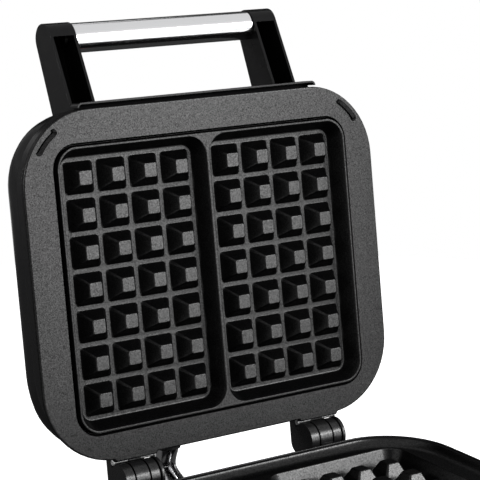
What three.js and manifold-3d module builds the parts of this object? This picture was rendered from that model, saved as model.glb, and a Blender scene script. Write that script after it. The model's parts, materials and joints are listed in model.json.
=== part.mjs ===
// Belgian waffle maker with a hinged lid, standing open.
// Millimetres, +Z up, +X along the hinge, -Y towards the front.
// Both halves are drawn in the same half frame: its origin is on the hinge axis, y runs from
// the hinge towards the handle side, and z points out of the cooking face.
import * as THREE from 'three';
import { mergeVertices } from 'three/addons/utils/BufferGeometryUtils.js';
import Module from 'manifold-3d';

const wasm = await Module();
wasm.setup();

// Grid plates
const cellPitch = 24;
const gridColumns = 4;
const gridRows = 7;
const channelWidth = 3.6;
const studTopWidth = 10;
const studHeight = 10.1;
const studCornerRadius = 2.2;
const pocketDepth = 11.65;
const pocketFloorRadius = 8;
const wallDraft = 5;
const dividerTopWidth = 2.4;
const ridgeWidth = 1.6;
const ridgeHeight = 2.1;
const grooveWidth = 2.2;
const grooveDepth = 1.4;
const flangeSide = 23.8;
const flangeFar = 23.3;
const flangeNear = 19.7;
const plateThickness = 3;
const plateCornerRadius = 50;
const fingerSlotWidth = 3.6;
const fingerSlotDepth = 1.6;
const fingerSlotInset = 7.4;
const fingerSlotLength = 20;
const tabWidth = 32;
const tabHeight = 1.8;

// Hinge
const hingeReach = 14.4;
const hingeSpacing = 146.8;
const hingeRadius = 11;
const hingeHeel = 15.3;
const hingeHeelRadius = 7.5;
const hingeCheekFront = 8.4;
const hingeWebFloor = 4;
const hingeLugExtra = 2;
const knuckleOuter = 6.4;
const knuckleCentre = 10.1;
const knuckleInner = 6.5;
const knuckleGap = 1;
const hingeCapWidth = 2.7;
const hingeCapRadius = 11.3;
const hingePinRadius = 3.5;
const bracketLegBack = 6;
const bracketLegTop = 2.4;
const bracketLegDrop = 34;
const bracketFootTop = 22;
const bracketFootHeight = 22;
const bracketFootThickness = 3;
const platePinRadius = 1.3;
const platePinHeadRadius = 2;
const platePinHeadLength = 1.6;
const platePinRise = 12;
const platePinSetback = 6.4;
const catchWidth = 10;
const catchDepth = 4.8;
const openLean = 8.7;
const lidFlangeRise = 0.6;

// Lid
const lidDepth = 42;
const lidBandDepth = 6.6;
const lidSideStraight = 18;
const lidEdgeRoll = 34;
const lidSideRoll = 30;
const lidFarDraftShare = 0.15;
const lidNearDraftShare = 0.32;
const lidCrownHeight = 1.6;
const lidCrownInset = 45;
const shellWall = 2.6;

// Front ledge of the lid
const ledgeHalf = 93;
const ledgeStandoff = 1.7;
const ledgeThickness = 2;
const ledgeWebDepth = 3;

// Handle
const handleSpan = 178;
const armWidth = 19;
const armTopRadius = 10.8;
const armWall = 2;
const armCapLength = 9;
const armRootFront = 2.8;
const armRootBack = 33.7;
const armRootRise = 8;
const armScrewDepth = 25;
const armScrewLength = 18;
const tubeRadius = 10;
const tubeWall = 1.6;
const handleRise = 45.8;
const tubeSetback = 45.9;
const plugLength = 12;
const handleScrewLength = 9;

// Base
const rimGap = 0.3;
const rimWidth = 3.5;
const rimFlatShare = 0.85;
const baseFlangeDrop = 5.6;
const baseHeight = 55;
const baseBottomRoll = 9;
const baseWall = 2.8;
const plateCove = 4.6;
const seatLedgeWidth = 6;
const seatLedgeDepth = 3;
const coverThickness = 2.4;
const coverInset = 14;
const coverLap = 8;
const ventCount = 7;
const ventPitch = 12;
const ventWidth = 4;
const ventLength = 60;
const footRadius = 11;
const footHeight = 7;
const footStemRadius = 4;
const footStemLength = 5;
const footInset = 40;
const footRearInset = 21;

// Heating
const elementRadius = 3.2;
const elementShare = 0.72;
const elementCornerRadius = 22;
const elementBend = 7;
const elementSteps = 72;
const terminalSpacing = 24;
const terminalLength = 16;
const shieldThickness = 1.2;
const shieldRimHeight = 5;
const thermostatRadius = 9;
const thermostatHeight = 7;
const fuseRadius = 2.6;
const fuseLength = 16;
const fuseOffset = 26;
const blockLength = 34;
const blockWidth = 14;
const blockHeight = 11;
const blockOffset = 46;

// Wiring conduit; its route is given as distances behind and above the hinge axis
const conduitRadius = 7;
const conduitWall = 1.5;
const conduitOffset = 42;
const conduitRoutePlaces = { lid: [13.5, 19.2], mouth: [13.2, 12.5], bulge: [17.2, 1], turn: [16, -6] };
const conduitLowPlaces = { low: [7, -11.5], wall: [-6, -15.5], base: [-19.5, -17.3] };
const conduitSteps = 16;
const ferruleRadius = 8.2;
const ferruleLength = 2.4;

// Small parts
const seatGap = 0.3;
const screwHeadRadius = 3.4;
const screwHeadHeight = 2.2;
const screwRadius = 1.7;
const screwGrip = 9;
const bossRadius = 5.5;
const bossLength = 16;
const lampRadius = 3.6;
const lampFlange = 1.4;
const lampDome = 1.6;
const lampSpacing = 24;
const bushRadius = 8;
const bushBore = 3.6;
const bushLip = 1.8;
const bushOffset = 8;
const bushDrop = 38;
const overrun = 1;

// Facets
const cornerSteps = 6;
const smallCornerSteps = 3;
const roundSteps = 28;
const pinSteps = 14;
const screwSteps = 10;
const elementSides = 8;

// Sizes worked out from the ones above
const studBaseWidth = cellPitch - channelWidth;
const pocketInner = dividerTopWidth / 2 + wallDraft;
const pocketOuter = pocketInner + gridColumns * cellPitch + channelWidth;
const pocketHalfLength = (gridRows * cellPitch + channelWidth) / 2;
const ridgeOuterX = pocketOuter + wallDraft + ridgeWidth;
const ridgeOuterY = pocketHalfLength + wallDraft + ridgeWidth;
const plateHalf = ridgeOuterX + flangeSide;
const plateNear = hingeReach;
const gridCentre = plateNear + flangeNear + ridgeOuterY;
const plateFar = gridCentre + ridgeOuterY + flangeFar;
const tubeReach = plateFar + handleRise;
const floorDrop = pocketDepth - ridgeHeight;
const plateUnderside = floorDrop + plateThickness;
const lidFlange = lidFlangeRise;
const baseRim = -(lidFlangeRise + rimGap);
const baseFlange = baseRim - baseFlangeDrop;
const lidBandBack = lidFlange - plateThickness - seatGap - lidBandDepth;
const lidBandFront = lidFlange - plateThickness - seatGap;
const lidShellFront = lidBandBack - seatGap;
const baseBottom = baseRim - baseHeight;
const hingeWidth = knuckleOuter + knuckleCentre + knuckleInner + hingeCapWidth + 3 * knuckleGap;
const knuckleCentreStart = knuckleOuter + knuckleGap;
const knuckleInnerStart = knuckleCentreStart + knuckleCentre + knuckleGap;
const hingeCapStart = knuckleInnerStart + knuckleInner + knuckleGap;
const baseUnderside = baseFlange - plateUnderside;
const lidUnderside = lidFlange - plateUnderside;
const bandInner = plateThickness * 3;
const quarterTurn = Math.PI / 2;

const materials = {
  plate: new THREE.MeshStandardMaterial({ color: 0x3c3c3d, roughness: 0.55, metalness: 0.15 }),
  housing: new THREE.MeshStandardMaterial({ color: 0x1d1d1e, roughness: 0.5, metalness: 0 }),
  hinge: new THREE.MeshStandardMaterial({ color: 0x222223, roughness: 0.4, metalness: 0 }),
  polished: new THREE.MeshStandardMaterial({ color: 0xd8d8d8, roughness: 0.14, metalness: 1 }),
  steel: new THREE.MeshStandardMaterial({ color: 0x9c9c9c, roughness: 0.35, metalness: 1 }),
  rubber: new THREE.MeshStandardMaterial({ color: 0x141414, roughness: 0.85, metalness: 0 }),
  ceramic: new THREE.MeshStandardMaterial({ color: 0xd9d4c6, roughness: 0.6, metalness: 0 }),
  redLens: new THREE.MeshStandardMaterial({ color: 0xa51410, roughness: 0.2, metalness: 0 }),
  greenLens: new THREE.MeshStandardMaterial({ color: 0x1b7a2c, roughness: 0.2, metalness: 0 }),
};

// Outline of a rounded rectangle, counter-clockwise, from arcs of equal step count
function roundedOutline(left, right, near, far, radius, steps) {
  const r = Math.min(radius, (right - left) / 2, (far - near) / 2);
  const corners = [
    [right - r, far - r, 0],
    [left + r, far - r, 1],
    [left + r, near + r, 2],
    [right - r, near + r, 3],
  ];
  const points = [];
  for (const [cx, cy, quarter] of corners) {
    for (let i = 0; i <= steps; i += 1) {
      const angle = (quarter + i / steps) * quarterTurn;
      points.push(new THREE.Vector2(cx + r * Math.cos(angle), cy + r * Math.sin(angle)));
    }
  }
  return points;
}

function rectangle(left, right, near, far) {
  return [
    new THREE.Vector2(right, far), new THREE.Vector2(left, far),
    new THREE.Vector2(left, near), new THREE.Vector2(right, near),
  ];
}

// Closed solid through rings of the same point count, from the lowest z to the highest
function loft(rings) {
  const count = rings[0].outline.length;
  const positions = [];
  for (const ring of rings) {
    for (const p of ring.outline) positions.push(p.x, p.y, ring.z);
  }
  const index = [];
  for (let r = 0; r + 1 < rings.length; r += 1) {
    for (let i = 0; i < count; i += 1) {
      const a = r * count + i;
      const b = r * count + ((i + 1) % count);
      index.push(a, b, b + count, a, b + count, a + count);
    }
  }
  const last = (rings.length - 1) * count;
  for (const [i, j, k] of THREE.ShapeUtils.triangulateShape(rings[0].outline, [])) index.push(k, j, i);
  for (const [i, j, k] of THREE.ShapeUtils.triangulateShape(rings[rings.length - 1].outline, [])) {
    index.push(last + i, last + j, last + k);
  }
  const geometry = new THREE.BufferGeometry();
  geometry.setAttribute('position', new THREE.Float32BufferAttribute(positions, 3));
  geometry.setIndex(index);
  return geometry;
}

// Manifold solid from a closed geometry, and back
function solid(geometry) {
  const bare = geometry.clone();
  bare.deleteAttribute('normal');
  bare.deleteAttribute('uv');
  const merged = mergeVertices(bare);
  return new wasm.Manifold(new wasm.Mesh({
    numProp: 3,
    vertProperties: new Float32Array(merged.attributes.position.array),
    triVerts: new Uint32Array(merged.index.array),
  }));
}

function geometryOf(manifold) {
  const mesh = manifold.getMesh();
  const geometry = new THREE.BufferGeometry();
  geometry.setAttribute('position', new THREE.BufferAttribute(new Float32Array(mesh.vertProperties), 3));
  geometry.setIndex(new THREE.BufferAttribute(new Uint32Array(mesh.triVerts), 1));
  geometry.computeVertexNormals();
  return geometry;
}

const join = (first, ...rest) => rest.reduce((total, piece) => total.add(piece), first);
const cut = (first, ...rest) => rest.reduce((total, piece) => total.subtract(piece), first);

// Extrusion of an outline in x and y, from z = low to z = high
function slab(outline, low, high) {
  return solid(loft([{ outline, z: low }, { outline, z: high }]));
}

// Round bar along x, y or z, between two ends
function bar(axis, radius, low, high, across, up, steps = pinSteps, endRadius = radius) {
  const geometry = new THREE.CylinderGeometry(endRadius, radius, high - low, steps);
  const middle = (low + high) / 2;
  if (axis === 'x') geometry.rotateZ(-quarterTurn).translate(middle, across, up);
  if (axis === 'y') geometry.translate(across, middle, up);
  if (axis === 'z') geometry.rotateX(quarterTurn).translate(across, up, middle);
  return solid(geometry);
}

// Extrusion along x of a profile drawn in y and z
function profileAlongX(points, low, high) {
  const shape = new THREE.Shape(points);
  const geometry = new THREE.ExtrudeGeometry(shape, { depth: high - low, bevelEnabled: false });
  // the drawing's x and y become y and z, and its depth becomes x
  const turn = new THREE.Matrix4().makeBasis(
    new THREE.Vector3(0, 1, 0), new THREE.Vector3(0, 0, 1), new THREE.Vector3(1, 0, 0));
  geometry.applyMatrix4(turn).translate(low, 0, 0);
  return solid(geometry);
}

function arcPoints(cx, cy, radius, from, to, steps) {
  const points = [];
  for (let i = 0; i <= steps; i += 1) {
    const angle = from + ((to - from) * i) / steps;
    points.push(new THREE.Vector2(cx + radius * Math.cos(angle), cy + radius * Math.sin(angle)));
  }
  return points;
}

// Plate outline pulled in by inset on every side, in the half frame
function plateOutline(inset) {
  return roundedOutline(-plateHalf + inset, plateHalf - inset, plateNear + inset, plateFar - inset,
    plateCornerRadius - inset, cornerSteps);
}

function ridgeOutline(grow) {
  return roundedOutline(-ridgeOuterX - grow, ridgeOuterX + grow, gridCentre - ridgeOuterY - grow,
    gridCentre + ridgeOuterY + grow, pocketFloorRadius + wallDraft + ridgeWidth + grow, cornerSteps);
}

// One waffle pocket, as the solid that is taken out of the plate
function pocketVoid(side, top) {
  const inner = side * pocketInner;
  const outer = side * pocketOuter;
  const left = Math.min(inner, outer);
  const right = Math.max(inner, outer);
  const floor = roundedOutline(left, right, gridCentre - pocketHalfLength, gridCentre + pocketHalfLength,
    pocketFloorRadius, cornerSteps);
  const rise = overrun / pocketDepth;
  const spread = wallDraft * (1 + rise);
  const mouth = roundedOutline(left - spread, right + spread, gridCentre - pocketHalfLength - spread,
    gridCentre + pocketHalfLength + spread, pocketFloorRadius + spread, cornerSteps);
  return solid(loft([{ outline: floor, z: top - pocketDepth }, { outline: mouth, z: top + overrun }]));
}

// One stud: a square frustum with rounded corners that stands on the pocket floor
function stud(x, y, floor) {
  const foot = studBaseWidth / 2;
  const head = studTopWidth / 2;
  const headRadius = studCornerRadius * (studTopWidth / studBaseWidth);
  const outline = (half, radius) => roundedOutline(x - half, x + half, y - half, y + half, radius, 1);
  return solid(loft([
    { outline: outline(foot, studCornerRadius), z: floor - plateThickness / 2 },
    { outline: outline(foot, studCornerRadius), z: floor },
    { outline: outline(head, headRadius), z: floor + studHeight },
  ]));
}

const studColumns = [];
for (let c = 0; c < gridColumns; c += 1) {
  studColumns.push(pocketInner + channelWidth + studBaseWidth / 2 + c * cellPitch);
}
const studRows = [];
for (let r = 0; r < gridRows; r += 1) studRows.push(gridCentre + (r - (gridRows - 1) / 2) * cellPitch);

// Screws that hold plate, element and heat shield together sit under these studs
const plateScrewPlaces = [];
for (const side of [-1, 1]) {
  plateScrewPlaces.push([side * studColumns[1], gridCentre]);
}

// The cooking part of a plate, whose flange face lies at z = flange
function gridBody(flange, flangeSolid) {
  const ridgeTop = flange + ridgeHeight;
  const floor = flange - floorDrop;
  const underside = flange - plateUnderside;
  const tub = roundedOutline(-pocketOuter - plateThickness, pocketOuter + plateThickness,
    gridCentre - pocketHalfLength - plateThickness, gridCentre + pocketHalfLength + plateThickness,
    pocketFloorRadius + plateThickness, cornerSteps);
  const tubTop = roundedOutline(-ridgeOuterX, ridgeOuterX, gridCentre - ridgeOuterY,
    gridCentre + ridgeOuterY,
    pocketFloorRadius + wallDraft + ridgeWidth, cornerSteps);
  const body = solid(loft([{ outline: tub, z: underside }, { outline: tubTop, z: flange - grooveDepth }]));
  const ridge = slab(ridgeOutline(0), flange - grooveDepth, ridgeTop);
  const groove = cut(
    slab(ridgeOutline(grooveWidth), flange - grooveDepth, flange + overrun),
    slab(ridgeOutline(0), flange - grooveDepth - overrun, flange + overrun + ridgeHeight));
  let plate = cut(join(flangeSolid, body, ridge), groove, pocketVoid(-1, ridgeTop),
    pocketVoid(1, ridgeTop));
  for (const side of [-1, 1]) {
    for (const x of studColumns) {
      for (const y of studRows) plate = plate.add(stud(side * x, y, floor));
    }
  }
  for (const [x, y] of plateScrewPlaces) {
    plate = plate.subtract(bar('z', screwRadius + seatGap, underside - overrun, underside + screwGrip,
      x, y));
  }
  return plate;
}

// Blind finger slot that follows the plate's far corner
function fingerSlot(side, flange) {
  const radius = plateCornerRadius - fingerSlotInset;
  const cx = side * (plateHalf - plateCornerRadius);
  const cy = plateFar - plateCornerRadius;
  const half = fingerSlotWidth / 2;
  const sweep = fingerSlotLength / radius;
  const middle = side > 0 ? quarterTurn / 2 : quarterTurn * 1.5;
  const from = middle - sweep / 2;
  const to = middle + sweep / 2;
  const end = (angle, start) => arcPoints(cx + radius * Math.cos(angle), cy + radius * Math.sin(angle),
    half, start, start + Math.PI, smallCornerSteps * 2);
  const outline = [
    ...arcPoints(cx, cy, radius + half, from, to, cornerSteps).slice(1, -1),
    ...end(to, to),
    ...arcPoints(cx, cy, radius - half, to, from, cornerSteps).slice(1, -1),
    ...end(from, from + Math.PI),
  ];
  return slab(outline, flange - fingerSlotDepth, flange + overrun);
}

const hingeLeftEnds = [-(hingeSpacing + hingeWidth) / 2, (hingeSpacing - hingeWidth) / 2];

function upperGridPlate() {
  let flange = slab(plateOutline(0), lidFlange - plateThickness, lidFlange);
  for (const left of hingeLeftEnds) {
    const centre = left + hingeWidth / 2;
    const tab = roundedOutline(centre - tabWidth / 2, centre + tabWidth / 2, plateNear - tabHeight,
      plateNear + tabHeight, tabHeight / 2, smallCornerSteps);
    flange = flange.add(slab(tab, lidFlange - plateThickness, lidFlange));
  }
  return cut(gridBody(lidFlange, flange), fingerSlot(-1, lidFlange), fingerSlot(1, lidFlange));
}

// The lower plate has an upturned edge all round, which keeps batter in
function lowerGridPlate() {
  const edge = rimWidth + seatGap;
  const top = baseRim - rimWidth / 4;
  const outer = slab(plateOutline(edge), baseFlange - plateThickness, top);
  const rings = [];
  for (let i = 0; i <= smallCornerSteps + 1; i += 1) {
    const share = i / (smallCornerSteps + 1);
    const inset = edge + plateThickness / 2 + plateCove * (1 - Math.sin(share * quarterTurn));
    const rise = (top - baseFlange) * (1 - Math.cos(share * quarterTurn));
    rings.push({ outline: plateOutline(inset), z: baseFlange + rise });
  }
  rings.push({ outline: rings[rings.length - 1].outline, z: top + overrun });
  return gridBody(baseFlange, cut(outer, solid(loft(rings))));
}

// Depths from the front of the lid shell to its crown, closer together where the edge rolls over
const lidShellSteps = 7;

function lidShellRings(inset, lift) {
  const start = lidFlange - lidShellFront;
  const depthRange = lidDepth - start;
  const rings = [];
  for (let i = 0; i <= lidShellSteps; i += 1) {
    const turn = Math.sin((i / lidShellSteps) * quarterTurn);
    const depth = start + depthRange * turn;
    const roll = 1 - Math.cos(Math.asin(turn));
    const sideTurn = Math.max(0, (depth - lidSideStraight) / (lidDepth - lidSideStraight));
    const side = lidSideRoll * (1 - Math.sqrt(Math.max(0, 1 - sideTurn * sideTurn)));
    const far = lidFarDraftShare * (depth - start) + lidEdgeRoll * roll;
    const near = lidNearDraftShare * (depth - start) + lidEdgeRoll * roll;
    rings.push({
      outline: roundedOutline(-plateHalf + side + inset, plateHalf - side - inset,
        plateNear + near + inset,
        plateFar - far - inset, plateCornerRadius - inset, cornerSteps),
      z: lidFlange - depth + lift,
    });
  }
  const last = lidShellSteps;
  const lidFarEnd = lidFarDraftShare * depthRange + lidEdgeRoll + lidCrownInset;
  const lidNearEnd = lidNearDraftShare * depthRange + lidEdgeRoll + lidCrownInset;
  rings.push({
    outline: roundedOutline(-plateHalf + lidSideRoll + lidCrownInset,
      plateHalf - lidSideRoll - lidCrownInset,
      plateNear + lidNearEnd, plateFar - lidFarEnd, plateCornerRadius, cornerSteps),
    z: rings[last].z - lidCrownHeight,
  });
  return rings.reverse();
}

// The shell's outer form, grown by a gap, with its open side carried forward by an overrun
function lidShellForm(grow) {
  const rings = lidShellRings(-grow, -grow);
  const front = rings[rings.length - 1];
  return solid(loft([...rings.slice(0, -1), { outline: front.outline, z: lidShellFront + grow }]));
}

const armCentres = [-1, 1].map((side) => side * (handleSpan - armWidth) / 2);
const wallFace = -plateNear;
const bracketScrewHeight = -bracketFootTop - bracketFootHeight + screwHeadRadius * 2;
const hingeScrewPlaces = hingeLeftEnds.map((left) => left + knuckleCentreStart + knuckleCentre / 2);
const hingeScrewDepth = 13.2;
const lampPlaces = [-1, 1].map((side) => (side * lampSpacing) / 2);
const lampReach = plateFar - lidEdgeRoll - lidCrownInset / 2;
const armBossEnd = plateFar - bossLength;
const hingeBossEnd = plateNear + bossLength / 2;
const lidBack = lidFlange - lidDepth;

function lidShell() {
  const outer = solid(loft(lidShellRings(0, 0)));
  const innerRings = lidShellRings(shellWall, shellWall);
  const mouth = innerRings[innerRings.length - 1];
  const inner = solid(loft([...innerRings,
    { outline: mouth.outline, z: lidShellFront + shellWall + overrun }]));
  let shell = outer.subtract(inner);
  for (const x of armCentres) {
    const boss = bar('y', bossRadius, armBossEnd, plateFar, x, -armScrewDepth);
    shell = shell.add(boss.intersect(outer));
    shell = shell.subtract(bar('y', screwRadius + seatGap, armBossEnd - overrun, plateFar + overrun,
      x, -armScrewDepth, screwSteps));
  }
  for (const x of hingeScrewPlaces) {
    const boss = bar('y', bossRadius / 2 + screwRadius, plateNear, hingeBossEnd, x, -hingeScrewDepth);
    shell = shell.add(boss.intersect(outer));
    shell = shell.subtract(bar('y', screwRadius + seatGap, plateNear - overrun, hingeBossEnd + overrun,
      x, -hingeScrewDepth, screwSteps));
  }
  for (const x of lampPlaces) {
    shell = shell.subtract(bar('z', lampRadius + seatGap, lidBack - bossLength, lidBack + bossLength, x,
      lampReach));
  }
  return shell.subtract(conduitInLid(conduitRadius + seatGap));
}

// Band behind the plate, with the ledge that stands up in front of the handle
function lidFrame() {
  const band = cut(slab(plateOutline(0), lidBandBack, lidBandFront),
    slab(plateOutline(bandInner), lidBandBack - overrun, lidBandFront + overrun));
  const inside = plateFar + ledgeStandoff;
  const low = inside - ledgeThickness / 2;
  const round = ledgeThickness * 1.5;
  const outline = [
    ...arcPoints(ledgeHalf - round, low, round, 0, quarterTurn, smallCornerSteps),
    ...arcPoints(-ledgeHalf + round, low, round, quarterTurn, Math.PI, smallCornerSteps),
    new THREE.Vector2(-ledgeHalf + ledgeThickness, low),
    new THREE.Vector2(-ledgeHalf + round, inside),
    new THREE.Vector2(ledgeHalf - round, inside),
    new THREE.Vector2(ledgeHalf - ledgeThickness, low),
  ];
  const lip = slab(outline, lidBandBack, lidFlange);
  const web = rectangle(-ledgeHalf + round, ledgeHalf - round, plateFar - overrun,
    inside + ledgeThickness / 2);
  return join(band, lip, slab(web, lidBandBack, lidBandBack + ledgeWebDepth))
    .subtract(conduitInLid(conduitRadius + seatGap));
}

// Handle arm: a tapered channel, open towards the cooking side, with a round top
const tubeCentre = new THREE.Vector2(tubeReach, -tubeSetback);

function armOutline(inset, root) {
  const radius = armTopRadius - inset;
  const front = new THREE.Vector2(root, -armRootFront - inset);
  const back = new THREE.Vector2(root, -armRootBack + inset);
  const tangent = (point, sign) => {
    const toCentre = point.clone().sub(tubeCentre);
    const angle = Math.atan2(toCentre.y, toCentre.x);
    return angle + sign * Math.acos(radius / toCentre.length());
  };
  const from = tangent(back, 1);
  const to = tangent(front, -1) + 2 * Math.PI;
  return [front, back, ...arcPoints(tubeCentre.x, tubeCentre.y, radius, from, to, cornerSteps * 2)];
}

function handleArm(side) {
  const outerFace = (side * handleSpan) / 2;
  const innerFace = side * (handleSpan / 2 - armWidth);
  const low = Math.min(outerFace, innerFace);
  const high = Math.max(outerFace, innerFace);
  const middle = (low + high) / 2;
  const root = plateFar - lidEdgeRoll;
  const recessFloor = plateFar + armRootRise;
  const recessTop = tubeReach + armTopRadius - armCapLength;
  const hollow = armOutline(armWall, root);
  const opened = hollow.map((p) => new THREE.Vector2(p.x, p.y + armTopRadius));
  const recess = join(
    profileAlongX(hollow, low + armWall, high - armWall),
    profileAlongX(opened, low + armWall, high - armWall),
  ).intersect(slab(rectangle(low, high, recessFloor, recessTop), -tubeReach, tubeReach));
  const bandClearance = slab(rectangle(low - overrun, high + overrun, root - overrun,
    plateFar + ledgeStandoff),
    lidShellFront - seatGap, armRootBack);
  const headBore = bar('x', screwHeadRadius + seatGap, low + armWall, high - armWall, tubeReach,
    -tubeSetback);
  const screwBore = bar('x', screwRadius + seatGap, Math.min(innerFace - side * overrun, middle),
    Math.max(innerFace - side * overrun, middle), tubeReach, -tubeSetback, screwSteps);
  const footBore = bar('y', screwRadius + seatGap, root - overrun, recessFloor - overrun, middle,
    -armScrewDepth, screwSteps);
  return cut(profileAlongX(armOutline(0, root), low, high), lidShellForm(seatGap), recess,
    bandClearance, headBore,
    screwBore, footBore);
}

// Screw with a round head; the shank runs from the head's under face by length, along sign
function screw(axis, sign, seat, length, across, up) {
  const headEnd = seat - sign * screwHeadHeight;
  const tip = seat + sign * length;
  return bar(axis, screwHeadRadius, Math.min(seat, headEnd), Math.max(seat, headEnd), across, up,
    screwSteps)
    .add(bar(axis, screwRadius, Math.min(headEnd, tip), Math.max(headEnd, tip), across, up, screwSteps));
}

function handleTube() {
  const half = handleSpan / 2 - armWidth - seatGap;
  return cut(bar('x', tubeRadius, -half, half, tubeReach, -tubeSetback, roundSteps),
    bar('x', tubeRadius - tubeWall, -half - overrun, half + overrun, tubeReach, -tubeSetback, roundSteps));
}

function handlePlug(side) {
  const outer = side * (handleSpan / 2 - armWidth - seatGap);
  const inner = outer - side * plugLength;
  const low = Math.min(outer, inner);
  const high = Math.max(outer, inner);
  return cut(bar('x', tubeRadius - tubeWall - seatGap, low, high, tubeReach, -tubeSetback, roundSteps),
    bar('x', screwRadius + seatGap, low + (side > 0 ? armWall : -overrun),
      high + (side > 0 ? overrun : -armWall),
      tubeReach, -tubeSetback, screwSteps));
}

// Outer form of a hinge part on the lid, in y and z of the half frame
function cheekOutline() {
  const top = plateNear + hingeHeelRadius;
  return [
    new THREE.Vector2(top, -hingeHeel),
    new THREE.Vector2(top, -hingeCheekFront),
    ...arcPoints(0, 0, hingeRadius, Math.atan2(-hingeCheekFront,
      Math.sqrt(hingeRadius ** 2 - hingeCheekFront ** 2)),
      Math.PI, roundSteps / 2),
    ...arcPoints(hingeHeelRadius - hingeRadius, hingeHeelRadius - hingeHeel, hingeHeelRadius, Math.PI,
      Math.PI + quarterTurn,
      smallCornerSteps * 2),
  ];
}

function hingeArm(left) {
  const cheek = (start, width) => profileAlongX(cheekOutline(), left + start, left + start + width);
  const web = slab(rectangle(left + knuckleOuter / 2, left + knuckleInnerStart + knuckleInner / 2,
    -hingeWebFloor,
    plateNear + hingeHeelRadius), -hingeHeel, -hingeRadius - seatGap);
  const lug = slab(rectangle(left + knuckleOuter / 2, left + knuckleInnerStart + knuckleInner / 2,
    hingeRadius + seatGap, plateNear + hingeHeelRadius), -hingeHeel - hingeLugExtra, -hingeCheekFront);
  const bandClearance = slab(rectangle(left - overrun, left + hingeWidth + overrun, plateNear - seatGap,
    plateNear + bossLength), lidShellFront - seatGap, hingeRadius);
  const middle = left + knuckleCentreStart + knuckleCentre / 2;
  return cut(join(cheek(0, knuckleOuter), cheek(knuckleInnerStart, knuckleInner), web, lug),
    lidShellForm(seatGap), bandClearance,
    bar('x', hingePinRadius + seatGap, left - overrun, left + hingeWidth, 0, 0),
    bar('y', screwRadius + seatGap, plateNear - screwGrip, plateNear + bossLength, middle,
      -hingeScrewDepth, screwSteps));
}

function platePin(left) {
  const low = left - platePinHeadLength;
  const high = left + hingeWidth + platePinHeadLength;
  const head = (from, to) => bar('x', platePinHeadRadius, from, to, platePinRise, -platePinSetback,
    screwSteps);
  return join(bar('x', platePinRadius, low, high, platePinRise, -platePinSetback, screwSteps),
    head(low, left - seatGap), head(left + hingeWidth + seatGap, high));
}

function plateCatch(left) {
  const middle = left + hingeWidth / 2;
  const block = slab(rectangle(middle - catchWidth / 2, middle + catchWidth / 2, platePinRise - catchDepth,
    plateNear - seatGap), -platePinSetback - catchDepth / 3, lidFlange - plateThickness - seatGap);
  return cut(block, bar('x', hingeRadius + seatGap, middle - catchWidth, middle + catchWidth, 0, 0,
    roundSteps),
    bar('x', platePinRadius + seatGap, middle - catchWidth, middle + catchWidth, platePinRise,
      -platePinSetback, screwSteps));
}

// Path through the given points whose corners are rounded off by the given bends
function bentPath(points, bends) {
  const path = new THREE.CurvePath();
  let from = points[0];
  for (let i = 1; i + 1 < points.length; i += 1) {
    const into = points[i].clone().sub(points[i - 1]).normalize();
    const out = points[i + 1].clone().sub(points[i]).normalize();
    const start = points[i].clone().addScaledVector(into, -bends[i - 1]);
    const end = points[i].clone().addScaledVector(out, bends[i - 1]);
    path.add(new THREE.LineCurve3(from, start));
    path.add(new THREE.QuadraticBezierCurve3(start, points[i], end));
    from = end;
  }
  path.add(new THREE.LineCurve3(from, points[points.length - 1]));
  return path;
}

// Element that loops below a plate's pockets, whose underside lies at z = underside
function heatingElement(underside) {
  const halfX = pocketOuter * elementShare;
  const near = gridCentre - pocketHalfLength * elementShare;
  const far = gridCentre + pocketHalfLength * elementShare;
  const level = underside - elementRadius - seatGap;
  const terminal = terminalSpacing / 2;
  const corners = [
    [terminal, near, level - terminalLength], [terminal, near, level], [halfX, near, level],
      [halfX, far, level],
    [-halfX, far, level], [-halfX, near, level], [-terminal, near, level],
      [-terminal, near, level - terminalLength],
  ].map(([x, y, z]) => new THREE.Vector3(x, y, z));
  const bend = elementCornerRadius;
  return tubeAlong(bentPath(corners, [elementBend, bend, bend, bend, bend, elementBend]), elementRadius,
    elementSteps);
}

function heatShield(underside) {
  const floorTop = underside - elementRadius * 2 - seatGap * 2;
  const halfX = pocketOuter;
  const halfY = pocketHalfLength;
  const outline = (inset) => roundedOutline(-halfX + inset, halfX - inset, gridCentre - halfY + inset,
    gridCentre + halfY - inset, elementCornerRadius - inset, cornerSteps);
  let tray = cut(slab(outline(0), floorTop - shieldThickness, floorTop + shieldRimHeight),
    slab(outline(shieldThickness), floorTop, floorTop + shieldRimHeight + overrun));
  for (const [x, y] of plateScrewPlaces) {
    tray = tray.subtract(bar('z', screwRadius + seatGap, floorTop - shieldThickness - overrun,
      floorTop + overrun, x, y, screwSteps));
  }
  const near = gridCentre - pocketHalfLength * elementShare;
  for (const side of [-1, 1]) {
    tray = tray.subtract(bar('z', elementRadius + elementBend / 3, floorTop - shieldThickness - overrun,
      floorTop + overrun, side * (terminalSpacing / 2 + elementBend / 4), near));
  }
  return tray;
}

function plateScrew(underside, side) {
  const seat = underside - elementRadius * 2 - seatGap * 3 - shieldThickness;
  return screw('z', 1, seat, screwGrip + elementRadius * 2, side * studColumns[1], gridCentre);
}

function lampLens(x) {
  const back = lidBack - lidCrownHeight;
  return join(
    bar('z', lampRadius, back - lampDome, back + shellWall + lampFlange, x, lampReach, pinSteps),
    bar('z', lampRadius + lampFlange, back + shellWall + lampFlange, back + shellWall + lampFlange * 2,
      x, lampReach));
}

// Tube that follows a smooth path
function tubeAlong(path, radius, steps, sides = elementSides) {
  const outline = new THREE.Shape(arcPoints(0, 0, radius, 0, 2 * Math.PI, sides).slice(0, -1));
  return solid(new THREE.ExtrudeGeometry(outline, { extrudePath: path, steps, bevelEnabled: false }));
}

// The conduit's route in the axis frame: x to the right, y to the rear, z up
const conduitRoute = Object.values({ ...conduitRoutePlaces, ...conduitLowPlaces })
  .map(([back, rise]) => new THREE.Vector3(-conduitOffset, back, rise));

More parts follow.
